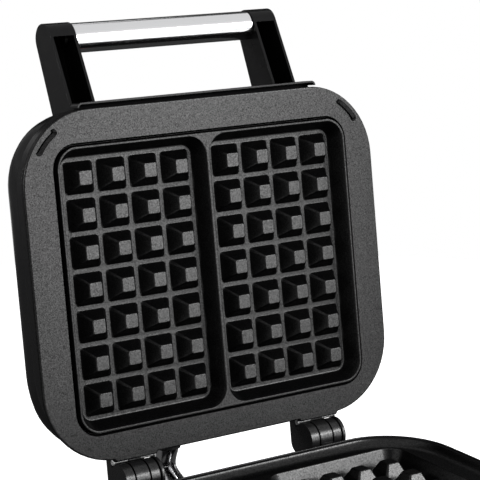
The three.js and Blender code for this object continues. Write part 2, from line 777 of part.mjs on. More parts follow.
function conduitSolid(radius) {
  return tubeAlong(new THREE.CatmullRomCurve3(conduitRoute), radius, conduitSteps, pinSteps);
}

function wiringConduit() {
  const start = conduitRoute[0].clone().sub(conduitRoute[1]);
  const end = conduitRoute[conduitRoute.length - 1].clone().sub(conduitRoute[conduitRoute.length - 2]);
  const bore = [conduitRoute[0].clone().addScaledVector(start.normalize(), overrun),
    ...conduitRoute.slice(1, -1),
    conduitRoute[conduitRoute.length - 1].clone().addScaledVector(end.normalize(), overrun)];
  return conduitSolid(conduitRadius)
    .subtract(tubeAlong(new THREE.CatmullRomCurve3(bore), conduitRadius - conduitWall, conduitSteps,
      pinSteps));
}

// Base housing: wall with a rounded rim, a ledge for the plate and a turned-in foot
const coverTop = baseBottom + coverThickness;
const rimRadius = rimWidth / 2;
const rimSteps = smallCornerSteps + 1;

function rimRings(outerSide) {
  const rings = [];
  const highest = rimFlatShare * quarterTurn;
  for (let i = 0; i <= rimSteps; i += 1) {
    const angle = (highest * i) / rimSteps;
    const pull = rimRadius * (1 - Math.cos(angle));
    rings.push({
      outline: plateOutline(outerSide ? pull : rimWidth - pull),
      z: baseRim - rimRadius * (Math.sin(highest) - Math.sin(angle)),
    });
  }
  return rings;
}

function baseShell() {
  const rolled = [];
  for (let i = 0; i < cornerSteps; i += 1) {
    const angle = (i / cornerSteps) * quarterTurn;
    rolled.push({
      outline: plateOutline(baseBottomRoll * (1 - Math.sin(angle))),
      z: coverTop + seatGap + baseBottomRoll * (1 - Math.cos(angle)),
    });
  }
  const outer = solid(loft([...rolled, ...rimRings(true)]));
  const seat = baseFlange - plateThickness - seatGap;
  const innerRim = rimRings(false);
  const highestInner = innerRim[innerRim.length - 1];
  const upper = solid(loft([{ outline: plateOutline(rimWidth), z: seat }, ...innerRim,
    { outline: highestInner.outline, z: baseRim + overrun }]));
  const ledge = slab(plateOutline(rimWidth + seatLedgeWidth), seat - seatLedgeDepth - overrun,
    seat + overrun);
  const foot = coverTop + seatGap + baseWall;
  const cavity = slab(plateOutline(baseBottomRoll / 2 + baseWall), foot, foot + baseBottomRoll);
  const tall = slab(plateOutline(baseWall), foot + baseBottomRoll / 2, seat - seatLedgeDepth);
  const opening = slab(plateOutline(coverInset), coverTop - overrun, foot + overrun);
  let shell = cut(outer, upper, ledge, cavity, tall, opening);
  for (const [x, y] of coverScrewPlaces) {
    shell = shell.subtract(bar('z', screwRadius + seatGap, coverTop - overrun, foot + overrun, x, y,
      screwSteps));
  }
  shell = shell.rotate([0, 0, 180]);
  for (const x of hingeScrewPlaces) {
    shell = shell.subtract(bar('y', screwRadius + seatGap, wallFace - bossLength, wallFace + overrun, x,
      bracketScrewHeight, screwSteps));
  }
  return cut(shell, conduitSolid(conduitRadius + seatGap),
    bar('y', bushRadius + seatGap, wallFace - bossLength, wallFace + overrun, -bushOffset, -bushDrop,
      roundSteps));
}

const coverScrewInset = (coverInset + coverLap) / 2;
const coverScrewPlaces = [];
for (const side of [-1, 1]) {
  for (const y of [gridCentre - pocketHalfLength / 2, gridCentre + pocketHalfLength / 2]) {
    coverScrewPlaces.push([side * (plateHalf - coverScrewInset), y]);
  }
}
const footPlaces = [];
for (const side of [-1, 1]) {
  for (const y of [plateNear + footRearInset,
    plateFar - footInset]) footPlaces.push([side * (plateHalf - footInset), y]);
}

function bottomCover() {
  let cover = slab(plateOutline(coverLap), baseBottom, coverTop);
  for (const [x, y] of coverScrewPlaces) {
    cover = cover.subtract(bar('z', screwRadius + seatGap, baseBottom - overrun, coverTop + overrun, x,
      y, screwSteps));
  }
  for (const [x, y] of footPlaces) {
    cover = cover.subtract(bar('z', footStemRadius + seatGap, baseBottom - overrun, coverTop + overrun,
      x, y));
  }
  for (let i = 0; i < ventCount; i += 1) {
    const y = gridCentre + (i - (ventCount - 1) / 2) * ventPitch;
    const vent = roundedOutline(-ventLength / 2, ventLength / 2, y - ventWidth / 2, y + ventWidth / 2,
      ventWidth / 2,
      smallCornerSteps);
    cover = cover.subtract(slab(vent, baseBottom - overrun, coverTop + overrun));
  }
  return cover;
}

function foot(x, y) {
  const top = baseBottom - seatGap;
  return join(bar('z', footRadius - overrun, top - footHeight, top, x, y, roundSteps, footRadius),
    bar('z', footStemRadius, top - footHeight / 2, top + footStemLength, x, y));
}

const shieldFloor = (underside) => underside - elementRadius * 2 - seatGap * 2 - shieldThickness;

function thermostat() {
  const top = shieldFloor(baseUnderside) - seatGap;
  return join(bar('z', thermostatRadius, top - thermostatHeight, top, 0, gridCentre, roundSteps),
    slab(rectangle(-blockWidth, blockWidth, gridCentre - fuseRadius, gridCentre + fuseRadius),
      top - shieldThickness, top));
}

function thermalFuse() {
  const level = shieldFloor(baseUnderside) - seatGap - fuseRadius;
  return bar('x', fuseRadius, -fuseLength / 2, fuseLength / 2, gridCentre + fuseOffset, level);
}

function terminalBlock() {
  return slab(roundedOutline(-blockLength / 2, blockLength / 2, gridCentre - blockOffset - blockWidth / 2,
    gridCentre - blockOffset + blockWidth / 2, fuseRadius, smallCornerSteps), coverTop + seatGap,
      coverTop + seatGap + blockHeight);
}

// Hinge bracket on the base, in the axis frame: its knuckle, a leg and a screwed foot
function hingeBracket(left) {
  const low = left + knuckleCentreStart;
  const high = low + knuckleCentre;
  const legTop = new THREE.Vector2(wallFace + seatGap, -bracketLegTop);
  const leg = [
    new THREE.Vector2(0, 0), legTop,
    new THREE.Vector2(wallFace + seatGap, -bracketLegDrop),
    new THREE.Vector2(wallFace + seatGap + bracketFootThickness, -bracketLegDrop),
    new THREE.Vector2(bracketLegBack, -hingeRadius * Math.cos(Math.asin(bracketLegBack / hingeRadius))),
  ];
  const plate = slab(rectangle(left, left + hingeWidth, wallFace + seatGap,
    wallFace + seatGap + bracketFootThickness),
    -bracketFootTop - bracketFootHeight, -bracketFootTop);
  return cut(join(bar('x', hingeRadius, low, high, 0, 0, roundSteps), profileAlongX(leg, low, high),
    plate),
    bar('x', hingePinRadius + seatGap, low - overrun, high + overrun, 0, 0),
    bar('y', screwRadius + seatGap, wallFace - overrun, wallFace + bossLength, (low + high) / 2,
      bracketScrewHeight, screwSteps));
}

function hingePin(left) {
  const cap = left + hingeCapStart;
  const edge = (hingeCapRadius - hingeRadius) * 2;
  return join(bar('x', hingePinRadius, left + seatGap, cap + edge, 0, 0),
    bar('x', hingeCapRadius, cap, cap + hingeCapWidth - edge, 0, 0, roundSteps),
    bar('x', hingeCapRadius, cap + hingeCapWidth - edge, cap + hingeCapWidth, 0, 0, roundSteps,
      hingeCapRadius - edge));
}

function bracketScrew(left) {
  const middle = left + knuckleCentreStart + knuckleCentre / 2;
  return screw('y', -1, wallFace + seatGap * 2 + bracketFootThickness, screwGrip, middle,
    bracketScrewHeight);
}

function cordInletBush() {
  return cut(
    join(bar('y', bushRadius, wallFace - baseWall - seatGap, wallFace + seatGap + bushLip, -bushOffset,
      -bushDrop, roundSteps),
      bar('y', bushRadius + bushLip, wallFace + seatGap, wallFace + seatGap + bushLip, -bushOffset,
        -bushDrop, roundSteps)),
    bar('y', bushBore, wallFace - bossLength, wallFace + bossLength, -bushOffset, -bushDrop));
}

// Collars round the conduit where it enters each housing
function conduitCollar(form, low, high) {
  const hole = form(conduitRadius + seatGap);
  const ring = form(ferruleRadius).subtract(hole);
  const left = -conduitOffset - ferruleRadius - overrun;
  return ring.intersect(slab(rectangle(left, left + (ferruleRadius + overrun) * 2, low, high),
    -tubeReach, tubeReach));
}

const conduitInLid = (radius) => conduitSolid(radius).rotate([openLean - 90, 0, 0]);

const model = new THREE.Group();
const lid = new THREE.Group();
const base = new THREE.Group();
const rear = new THREE.Group();
lid.rotation.x = quarterTurn - THREE.MathUtils.degToRad(openLean);
base.rotation.z = Math.PI;
model.add(lid, base, rear);

function put(parent, name, material, manifold) {
  const mesh = new THREE.Mesh(geometryOf(manifold), material);
  mesh.name = name;
  parent.add(mesh);
}

put(lid, 'upper_grid_plate', materials.plate, upperGridPlate());
put(lid, 'lid_frame', materials.housing, lidFrame());
put(lid, 'lid_shell', materials.housing, lidShell());
put(lid, 'handle_tube', materials.polished, handleTube());
put(lid, 'upper_heating_element', materials.steel, heatingElement(lidUnderside));
put(lid, 'upper_heat_shield', materials.steel, heatShield(lidUnderside));
put(lid, 'power_lamp', materials.redLens, lampLens(lampPlaces[0]));
put(lid, 'ready_lamp', materials.greenLens, lampLens(lampPlaces[1]));
put(lid, 'lid_conduit_collar', materials.rubber,
  conduitCollar(conduitInLid, plateNear - seatGap - ferruleLength,
  plateNear - seatGap));

put(rear, 'base_shell', materials.housing, baseShell());
put(base, 'bottom_cover', materials.housing, bottomCover());
put(base, 'lower_grid_plate', materials.plate, lowerGridPlate());
put(base, 'lower_heating_element', materials.steel, heatingElement(baseUnderside));
put(base, 'lower_heat_shield', materials.steel, heatShield(baseUnderside));
put(base, 'thermostat', materials.steel, thermostat());
put(base, 'thermal_fuse', materials.ceramic, thermalFuse());
put(base, 'terminal_block', materials.ceramic, terminalBlock());
put(rear, 'wiring_conduit', materials.polished, wiringConduit());
put(rear, 'base_conduit_collar', materials.rubber, conduitCollar(conduitSolid, wallFace + seatGap,
  wallFace + seatGap + ferruleLength));
put(rear, 'cord_inlet_bush', materials.rubber, cordInletBush());

const sides = { left: -1, right: 1 };
for (const [name, side] of Object.entries(sides)) {
  const left = hingeLeftEnds[(side + 1) / 2];
  const armX = (side * (handleSpan - armWidth)) / 2;
  put(lid, `handle_arm_${name}`, materials.housing, handleArm(side));
  put(lid, `handle_plug_${name}`, materials.housing, handlePlug(side));
  put(lid, `handle_screw_${name}`, materials.steel, screw('x', -side,
    side * (handleSpan / 2 - armWidth + armWall + seatGap), handleScrewLength, tubeReach, -tubeSetback));
  put(lid, `arm_screw_${name}`, materials.steel,
    screw('y', 1, armBossEnd - seatGap, armScrewLength, armX, -armScrewDepth));
  put(lid, `hinge_arm_${name}`, materials.hinge, hingeArm(left));
  put(lid, `hinge_screw_${name}`, materials.steel,
    screw('y', -1, hingeBossEnd + seatGap, screwGrip + screwHeadHeight,
    hingeScrewPlaces[(side + 1) / 2], -hingeScrewDepth));
  put(lid, `plate_pin_${name}`, materials.steel, platePin(left));
  put(lid, `plate_catch_${name}`, materials.hinge, plateCatch(left));
  put(lid, `upper_plate_screw_${name}`, materials.steel, plateScrew(lidUnderside, side));
  put(base, `lower_plate_screw_${name}`, materials.steel, plateScrew(baseUnderside, -side));
  put(rear, `hinge_bracket_${name}`, materials.hinge, hingeBracket(left));
  put(rear, `hinge_pin_${name}`, materials.hinge, hingePin(left));
  put(rear, `bracket_screw_${name}`, materials.steel, bracketScrew(left));
  for (const [end, index] of [['rear', 0], ['front', 1]]) {
    const [footX, footY] = footPlaces[(1 - side) + index];
    const [screwX, screwY] = coverScrewPlaces[(1 - side) + index];
    put(base, `foot_${end}_${name}`, materials.rubber, foot(footX, footY));
    put(base, `cover_screw_${end}_${name}`, materials.steel,
      screw('z', 1, baseBottom - seatGap, screwGrip - baseWall,
      screwX, screwY));
  }
}

model.updateMatrixWorld(true);
const extent = new THREE.Box3().setFromObject(model, true);
model.position.set(-(extent.min.x + extent.max.x) / 2, -(extent.min.y + extent.max.y) / 2, -extent.min.z);
model.updateMatrixWorld(true);

export default model;
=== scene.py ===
# Looks of a belgian waffle maker that stands open: plates, housings, handle, hinges and stage.
# Lengths are in millimetres in the half frame or the axis frame, and Solid makes them metres.
# Half frame: origin on the hinge axis, y from the hinge to the handle, z out of the cooking face.
# Axis frame: origin on the hinge axis, x to the right, y to the rear, z up.
import json
import math

import bmesh
import bpy
from mathutils import Euler, Matrix, Vector
from mathutils.geometry import tessellate_polygon


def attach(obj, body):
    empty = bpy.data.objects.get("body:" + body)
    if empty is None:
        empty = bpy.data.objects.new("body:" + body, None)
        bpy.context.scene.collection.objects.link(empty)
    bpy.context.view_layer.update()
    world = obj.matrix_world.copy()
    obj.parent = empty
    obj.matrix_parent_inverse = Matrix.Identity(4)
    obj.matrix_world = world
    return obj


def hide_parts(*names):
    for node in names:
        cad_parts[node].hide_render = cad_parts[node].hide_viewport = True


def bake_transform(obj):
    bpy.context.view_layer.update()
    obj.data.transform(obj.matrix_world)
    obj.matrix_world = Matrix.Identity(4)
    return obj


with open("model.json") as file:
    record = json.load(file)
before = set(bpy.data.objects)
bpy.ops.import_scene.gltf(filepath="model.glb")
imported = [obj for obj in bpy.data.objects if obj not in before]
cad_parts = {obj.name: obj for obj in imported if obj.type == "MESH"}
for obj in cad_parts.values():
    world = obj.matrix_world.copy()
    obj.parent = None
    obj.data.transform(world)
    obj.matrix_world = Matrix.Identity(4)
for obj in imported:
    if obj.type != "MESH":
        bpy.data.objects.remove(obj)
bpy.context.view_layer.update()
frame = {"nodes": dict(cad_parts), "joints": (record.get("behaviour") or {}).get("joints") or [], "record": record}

bl_info = {
    "name": "Belgian Waffle Maker",
    "version": (1, 0, 0),
    "blender": (4, 5, 0),
    "location": "View3D > Sidebar > Waffle Maker",
    "description": "Builds the looks of an open belgian waffle maker on its packed frame",
    "category": "Object",
}

MM = 0.001
QUARTER = math.pi / 2
SMOOTH_ANGLE = math.radians(35.0)
WELD = 1e-6

# Hinge axis in the row frame, and the open lid's lean
HINGE_AXIS = Vector(frame["joints"][0]["pos_m"])
OPEN_LEAN = math.radians(8.7)
LID_PLACE = Matrix.Translation(HINGE_AXIS) @ Matrix.Rotation(QUARTER - OPEN_LEAN, 4, "X")
BASE_PLACE = Matrix.Translation(HINGE_AXIS) @ Matrix.Rotation(math.pi, 4, "Z")
AXIS_PLACE = Matrix.Translation(HINGE_AXIS)

# Grid plates
CELL_PITCH = 24.0
GRID_COLUMNS = 4
GRID_ROWS = 7
CHANNEL_WIDTH = 3.6
STUD_TOP_WIDTH = 9.4
STUD_HEIGHT = 10.1
STUD_CORNER = 2.2
STUD_TOP_CORNER = 1.2
STUD_FLANK_LOW = 1.0
STUD_SHOULDER = 0.5
POCKET_DEPTH = 11.65
POCKET_CORNER = 8.0
WALL_DRAFT = 5.0
DIVIDER_TOP = 2.4
RIDGE_WIDTH = 1.6
RIDGE_HEIGHT = 2.1
GROOVE_WIDTH = 2.0
GROOVE_DEPTH = 2.3
GROOVE_FLOOR = (0.9, 0.95)
TUB_FLARE = 3.1
FLANGE_SIDE = 23.8
FLANGE_FAR = 23.3
FLANGE_NEAR = 19.7
PLATE_THICKNESS = 3.0
PLATE_CORNER = 50.0
PLATE_NEAR = 14.4
FINGER_SLOT_WIDTH = 5.2
FINGER_SLOT_DEPTH = 2.8
FINGER_SLOT_INSET = 5.2
FINGER_SLOT_LENGTH = 16.0
FINGER_SLOT_LEAN = (0.75, 0.6)
TAB_WIDTH = 32.0
TAB_HEIGHT = 1.8
BACK_EDGE = 0.15
COVE_TURN = math.radians(55.0)
COVE_GAP = 0.5
RIM_FACE = 0.55
STUD_BASE = CELL_PITCH - CHANNEL_WIDTH
POCKET_INNER = DIVIDER_TOP / 2 + WALL_DRAFT
POCKET_OUTER = POCKET_INNER + GRID_COLUMNS * CELL_PITCH + CHANNEL_WIDTH
POCKET_HALF = (GRID_ROWS * CELL_PITCH + CHANNEL_WIDTH) / 2
RIDGE_X = POCKET_OUTER + WALL_DRAFT + RIDGE_WIDTH
RIDGE_Y = POCKET_HALF + WALL_DRAFT + RIDGE_WIDTH
RIDGE_CORNER = POCKET_CORNER + WALL_DRAFT + RIDGE_WIDTH
PLATE_HALF = RIDGE_X + FLANGE_SIDE
GRID_CENTRE = PLATE_NEAR + FLANGE_NEAR + RIDGE_Y
PLATE_FAR = GRID_CENTRE + RIDGE_Y + FLANGE_FAR
LID_FLANGE = 0.6
BASE_RIM = -0.9
BASE_FLANGE = -6.5
SEAT_GAP = 0.3

# Roundings in the plates' sections: steps sideways, each with its height or drop
STUD_FOOT = ((-0.55, 0.0), (-0.25, 0.08), (0.02, 0.35))
STUD_HEAD = ((0.15, 0.16), (0.5, 0.0))
POCKET_FLOOR = ((-1.0, 0.0), (-0.55, 0.06), (-0.15, 0.25), (0.15, 0.6), (0.6, 1.6))
POCKET_MOUTH = ((-0.35, 0.9), (-0.12, 0.35), (0.15, 0.08), (0.4, 0.0))
RIDGE_TOP = ((-0.35, 0.0), (-0.1, 0.1), (0.0, 0.4), (0.15, RIDGE_HEIGHT))
GROOVE_SIDE = ((-0.05, 0.25), (0.2, 0.0))
TUB_FLOOR = ((0.2, 1.0), (-0.1, 0.3), (-0.8, 0.0))
TAB_SHOULDER = ((0.84, 0.0), (0.28, 0.12), (0.0, 0.45), (-0.35, 0.85), (-1.0, 1.0))
RIM_TOP = ((0.42, 0.18), (0.24, 0.0), (0.1, 0.0), (0.0, 0.1))
# Inset, depth and sideways shift of the finger slot's loops
FINGER_SLOT_PROFILE = ((0.0, 0.0, 0.0), (0.12, 0.08, 0.0), (0.2, 0.3, 0.0), (1.3, 1.4, 1.05),
                       (1.45, FINGER_SLOT_DEPTH, 1.2))

# Lid
BAND_FRONT = LID_FLANGE - PLATE_THICKNESS - SEAT_GAP
BAND_BACK = BAND_FRONT - 6.6
BAND_INNER = 9.0
BAND_EDGE = 0.15
BAND_BACK_EDGE = 0.1
SHELL_FRONT = BAND_BACK - SEAT_GAP
SHELL_START = LID_FLANGE - SHELL_FRONT
SHELL_WALL = 2.6
LID_DEPTH = 42.0
SIDE_STRAIGHT = 18.0
SIDE_ROLL = 30.0
EDGE_ROLL = 34.0
FAR_DRAFT = 0.15
NEAR_DRAFT = 0.68
CORNER_PINCH = 8.0
NEAR_PINCH_SHARE = 1.8
LID_NEAR_CORNER = 60.0
SHELL_LIP = 0.1
CROWN_HEIGHT = 1.6
CROWN_INSET = 45.0
LEDGE_HALF = 93.0
LEDGE_NEAR = PLATE_FAR + 1.7
LEDGE_THICKNESS = 2.0
LEDGE_ROUND = 3.2
LEDGE_LIP = 1.1
HAIRLINE = 0.05
LAMP_RADIUS = 3.6
LAMP_SPACING = 24.0
LAMP_RISE = 1.6
LAMP_ROOT = 4.0

# Handle
ARM_OUTER = 89.0
ARM_INNER = 70.0
ARM_TOP_RADIUS = 10.8
ARM_WALL = 2.0
ARM_FOOT = 12.0
ARM_FOOT_GAP = 0.4
ARM_CUT_FRONT = 20.0
ARM_ROOT = PLATE_FAR - EDGE_ROLL
ARM_ROOT_FRONT = -2.8
ARM_ROOT_BACK = -33.7
ARM_HOLLOW_LOW = LEDGE_NEAR + 1.5
TUBE_RADIUS = 10.0
TUBE_REACH = PLATE_FAR + 45.8
TUBE_DROP = -45.9
ARM_HOLLOW_HIGH = TUBE_REACH + ARM_TOP_RADIUS - 9.0

# Hinges
HINGE_SPACING = 146.8
HINGE_RADIUS = 11.0
HEEL = 15.3
HEEL_RADIUS = 7.5
CHEEK_FRONT = 8.4
WEB_FLOOR = 4.0
LUG_EXTRA = 2.0
KNUCKLES = {
    "outer": (0.0, 6.3),
    "centre": (7.5, 17.4),
    "inner": (18.6, 24.9),
    "cap": (26.1, 28.7),
}
HINGE_WIDTH = 28.7
CAP_RADIUS = 11.3
PIVOT_RADIUS = 3.5
PIN_RISE = 11.9
PIN_SETBACK = 4.2
PIN_RADIUS = 1.3
PIN_HEAD_RADIUS = 2.0
PIN_HEAD_REACH = 1.6
PIN_HEAD_LAP = 0.8
# Depth and radius of the dimple in a pin's head
PIN_DIMPLE = ((0.5, 0.9), (0.1, 1.1))
CATCH_WIDTH = 10.0
CATCH_DEPTH = 3.8
BRACKET_LEG_BACK = 6.0
BRACKET_LEG_TOP = 2.4
BRACKET_LEG_DROP = 34.0
BRACKET_LEG_SHARE = 0.6
BRACKET_FOOT = (-44.0, -22.0)
BRACKET_THICKNESS = 3.0

# Wiring conduit, as distances behind and above the hinge axis
CONDUIT_RADIUS = 7.0
CONDUIT_X = -42.0
CONDUIT_ROUTE = ((13.5, 19.2), (13.2, 12.5), (17.2, 1.0), (16.0, -6.0), (7.0, -11.5),
                 (-6.0, -15.5), (-19.5, -17.3))

# Base
RIM_WIDTH = 3.5
RIM_LIP = 1.2
RIM_STEP = 0.8
RIM_EDGE = 0.3
BASE_HEIGHT = 55.0
BOTTOM_ROLL = 9.0
BASE_WALL = 2.8
BASE_FOOT_LAP = 14.0
BASE_INNER_ROLL = 4.5
SEAT_WIDTH = 6.0
SEAT_THICKNESS = 3.0
COVER_THICKNESS = 2.4
COVER_BOTTOM = BASE_RIM - BASE_HEIGHT
COVER_TOP = COVER_BOTTOM + COVER_THICKNESS
FOOT_RADIUS = 11.0
FOOT_HEIGHT = 7.0
FOOT_INSET = 40.0
FOOT_REAR_INSET = 21.0

# Ends of names and directions of x
SIDES = (("left", -1), ("right", 1))

# Point counts
CORNER_STEPS = 14
STUD_STEPS = 4
ROUND_STEPS = 56
SMALL_STEPS = 28
DOME_STEPS = 16
BEAD_STEPS = 12
COVE_STEPS = 10
ROLL_STEPS = 8
CROWN_STEPS = 5
EDGE_STEPS = 4

# Finishes
COAT_IOR = 2.2
COAT_ROUGHNESS_SHARE = 0.8
GRAIN_SPREAD = (0.4, 1.6)
NOISE_LOW = 0.3
NOISE_GAIN = 2.5
# Painted sheen on the stud tops, a stronger coat that brightens them: reach below and above the top, how fast it
# fades, and its gain
TOP_SHEEN_BELOW, TOP_SHEEN_ABOVE = 0.3 * MM, 0.6 * MM
TOP_SHEEN_FADE_IN, TOP_SHEEN_FADE_OUT = 8000.0, 4000.0
TOP_SHEEN_GAIN = 0.42

# Camera: place in metres, turn in degrees, lens and sensor in millimetres
CAMERA_PLACE = (-0.63494, -0.89469, 0.48178)
CAMERA_TURN = (76.896, 0.015, -33.589)
FOCAL_LENGTH = 135.585
SENSOR_WIDTH = 36.0

# Lamps, in metres: place, target, size, and power against the softbox setting
LAMPS = {
    "Front softbox": ((0.79, -1.42, 0.32), (0.0, 0.05, 0.2), (0.72, 0.54), 1.0),
    "High softbox": ((1.05, -1.25, 0.88), (0.0, 0.05, 0.1), (0.9, 0.42), 3.2),
    "Side softbox": ((-1.48, 0.63, 0.65), (0.0, 0.1, 0.2), (0.3, 0.3), 1.5),
}

# Cards, in metres: two opposite corners of an upright or lying card, and a grey
CARD_BLACK = 0.06
CARDS = {
    "Card behind": ((-0.1, 1.0, 0.12), (2.0, 1.0, 1.1), CARD_BLACK),
    "Card behind the handle": ((0.72, 1.0, 1.1), (1.1, 1.0, 1.7), CARD_BLACK),
    "Grey card": ((-1.5, 1.0, 0.0), (-0.1, 1.0, 0.5), 0.43),
    # Grey card below: a grey sheet on the floor behind the object that only mirrors see, painted shade of the
    # object's shadow there
    "Grey card below": ((-1.5, 0.03, 0.001), (0.1, 1.0, 0.001), 0.22),
    "Card beside the camera": ((-1.3, -1.1, 0.0), (-0.2, -1.5, 1.2), CARD_BLACK),
    "Card below": ((0.1, -0.25, 0.001), (0.9, 0.9, 0.001), CARD_BLACK),
}

# Floor, in millimetres
FLOOR_RADIUS = 900.0


def arc(cx, cy, radius, start, end, steps=ROLL_STEPS):
    """Points in x and y along an arc."""
    turns = [start + (end - start) * i / steps for i in range(steps + 1)]
    return [(cx + radius * math.cos(turn), cy + radius * math.sin(turn)) for turn in turns]


def circle(cx, cy, radius, steps):
    """Points in x and y round a whole circle."""
    return arc(cx, cy, radius, 0, 2 * math.pi, steps)[:-1]


def rounding(radius, steps):
    """Steps in two directions round a quarter of an edge, from its flat to its side."""
    turns = [QUARTER * i / steps for i in range(steps + 1)]
    return [(radius * (1 - math.sin(turn)), radius * (1 - math.cos(turn))) for turn in turns]


def rounded(left, right, near, far, radius, near_radius=None, steps=CORNER_STEPS):
    """Outline of a rounded rectangle, counter-clockwise from its right side."""
    limit = min((right - left) / 2, (far - near) / 2)
    r, n = (max(min(size, limit), HAIRLINE) for size in (radius, near_radius or radius))
    corners = ((right - r, far - r, r), (left + r, far - r, r),
               (left + n, near + n, n), (right - n, near + n, n))
    points = []
    for quarter, (cx, cy, size) in enumerate(corners):
        points += arc(cx, cy, size, quarter * QUARTER, (quarter + 1) * QUARTER, steps)
    return points


def edge_profile(low, high, radius, edge, steps=EDGE_STEPS):
    """Places along an axis and radii of a disc with rounded rims."""
    points = [(low + inset, radius - drop) for inset, drop in rounding(edge, steps)][::-1]
    return points + [(high + low - w, r) for w, r in reversed(points)]


def add_object(name, data):
    """Object linked into the scene."""
    obj = bpy.data.objects.new(name, data)
    bpy.context.scene.collection.objects.link(obj)
    return obj


ALONG = {
    "x": lambda u, v, w: (w, u, v),
    "y": lambda u, v, w: (u, w, v),
    "z": lambda u, v, w: (u, v, w),
}


class Solid:
    """Collects loops of points in millimetres and the faces between them."""

    def __init__(self):
        self.points = []
        self.faces = []

    def loop(self, points):
        start = len(self.points)
        self.points += [tuple(p) for p in points]
        return list(range(start, len(self.points)))

    def ring(self, outline, z):
        return self.loop([(x, y, z) for x, y in outline])

    def bridge(self, lower, upper):
        count = len(lower)
        for i in range(count):
            j = (i + 1) % count
            self.faces.append((lower[i], lower[j], upper[j], upper[i]))

    def chain(self, rings):
        for lower, upper in zip(rings, rings[1:]):
            self.bridge(lower, upper)

    def cap(self, loop):
        self.faces.append(tuple(loop))

    def capped(self, rings):
        """Chain of rings that is closed at both ends."""
        self.chain(rings)
        self.cap(rings[0])
        self.cap(rings[-1])

    def fill(self, *loops):
        """Flat face inside the first loop and outside the others."""
        flat = [[Vector(self.points[i]) for i in loop] for loop in loops]
        index = [i for loop in loops for i in loop]
        for triangle in tessellate_polygon(flat):
            self.faces.append(tuple(index[i] for i in triangle))

    def prism(self, outline, low, high, along="z"):
        put = ALONG[along]
        ends = [self.loop([put(u, v, w) for u, v in outline]) for w in (low, high)]
        self.bridge(*ends)
        for end in ends:
            self.fill(end)

    def turn(self, profile, centre, along="z", steps=ROUND_STEPS):
        """Round body through pairs of place and radius."""
        put = ALONG[along]
        self.capped([self.loop([put(u, v, w) for u, v in circle(*centre, radius, steps)])
                     for w, radius in profile])

    def bare(self, name, place):
        mesh = bpy.data.meshes.new(name)
        mesh.from_pydata([place @ (Vector(p) * MM) for p in self.points], [], self.faces)
        work = bmesh.new()
        work.from_mesh(mesh)
        bmesh.ops.remove_doubles(work, verts=work.verts, dist=WELD)
        bmesh.ops.recalc_face_normals(work, faces=work.faces)
        work.to_mesh(mesh)
        work.free()
        return add_object(name, mesh)

    def object(self, name, place, edge=0.0):
        """Object in the row frame, with its edges rounded by the given radius."""
        return shade(self.bare(name, place), edge)


def shade(obj, edge=0.0):
    """Smooth shading up to an angle; sharper edges are rounded by the given radius."""
    if edge:
        bevel = obj.modifiers.new("Rounded edges", "BEVEL")
        bevel.width = edge * MM
        bevel.segments = 3
        bevel.limit_method = "ANGLE"
        bevel.angle_limit = SMOOTH_ANGLE
        apply_modifiers(obj)
    work = bmesh.new()
    work.from_mesh(obj.data)
    for face in work.faces:
        face.smooth = True
    for line in work.edges:
        line.smooth = line.is_manifold and line.calc_face_angle(0.0) < SMOOTH_ANGLE
    work.to_mesh(obj.data)
    work.free()
    weighted = obj.modifiers.new("Even shading", "WEIGHTED_NORMAL")
    weighted.keep_sharp = True
    return obj


def apply_modifiers(obj):
    """Makes the modifiers part of the object's mesh."""
    graph = bpy.context.evaluated_depsgraph_get()
    graph.update()
    mesh = bpy.data.meshes.new_from_object(obj.evaluated_get(graph))
    obj.modifiers.clear()
    obj.data = mesh


def cut_out(obj, tool):
    """Takes the tool's volume out of the object and removes the tool."""
    cut = obj.modifiers.new("Cut", "BOOLEAN")
    cut.operation = "DIFFERENCE"
    cut.solver = "EXACT"
    cut.object = tool
    apply_modifiers(obj)
    bpy.data.objects.remove(tool)


class Value:
    """Output of a shader node; sums, differences and products of it add Math nodes."""

    def __init__(self, tree, socket):
        self.tree = tree
        self.socket = socket

    def math(self, operation, *others):
        node = self.tree.nodes.new("ShaderNodeMath")
        node.operation = operation
        for slot, value in zip(node.inputs, (self, *others)):
            if isinstance(value, Value):
                self.tree.links.new(value.socket, slot)
            else:
                slot.default_value = value
        return Value(self.tree, node.outputs[0])

    def __add__(self, other):
        return self.math("ADD", other)

    __radd__ = __add__

    def __mul__(self, other):
        return self.math("MULTIPLY", other)

    __rmul__ = __mul__

    def __sub__(self, other):
        return self.math("SUBTRACT", other)

    def __rsub__(self, other):
        return self * -1.0 + other

    def clamp(self):
        return self.math("MAXIMUM", 0.0).math("MINIMUM", 1.0)


class Shading:
    """Node tree whose nodes come from their type, settings and input values."""

    def __init__(self, tree):
        self.tree = tree

    def add(self, kind, settings=None, output=0, **inputs):
        node = self.tree.nodes.new(kind)
        for key, value in (settings or {}).items():
            setattr(node, key, value)
        for key, value in inputs.items():
            name = key.replace("_", " ")
            socket = node.inputs[int(name[1:])] if name[1:].isdigit() else node.inputs[name]
            if isinstance(value, Value):
                self.tree.links.new(value.socket, socket)
            else:
                socket.default_value = value
        return Value(self.tree, node.outputs[output]) if len(node.outputs) else node

    def seen(self):
        """1 for rays from the camera, from mirrors and through glass, and 0 for soft light."""
        path = self.add("ShaderNodeLightPath").socket.node
        return sum(Value(self.tree, path.outputs[f"Is {kind} Ray"])
                   for kind in ("Camera", "Glossy", "Transmission")).clamp()

    def choose(self, factor, first, second):
        return self.add("ShaderNodeMixShader", Fac=factor, i1=first, i2=second)


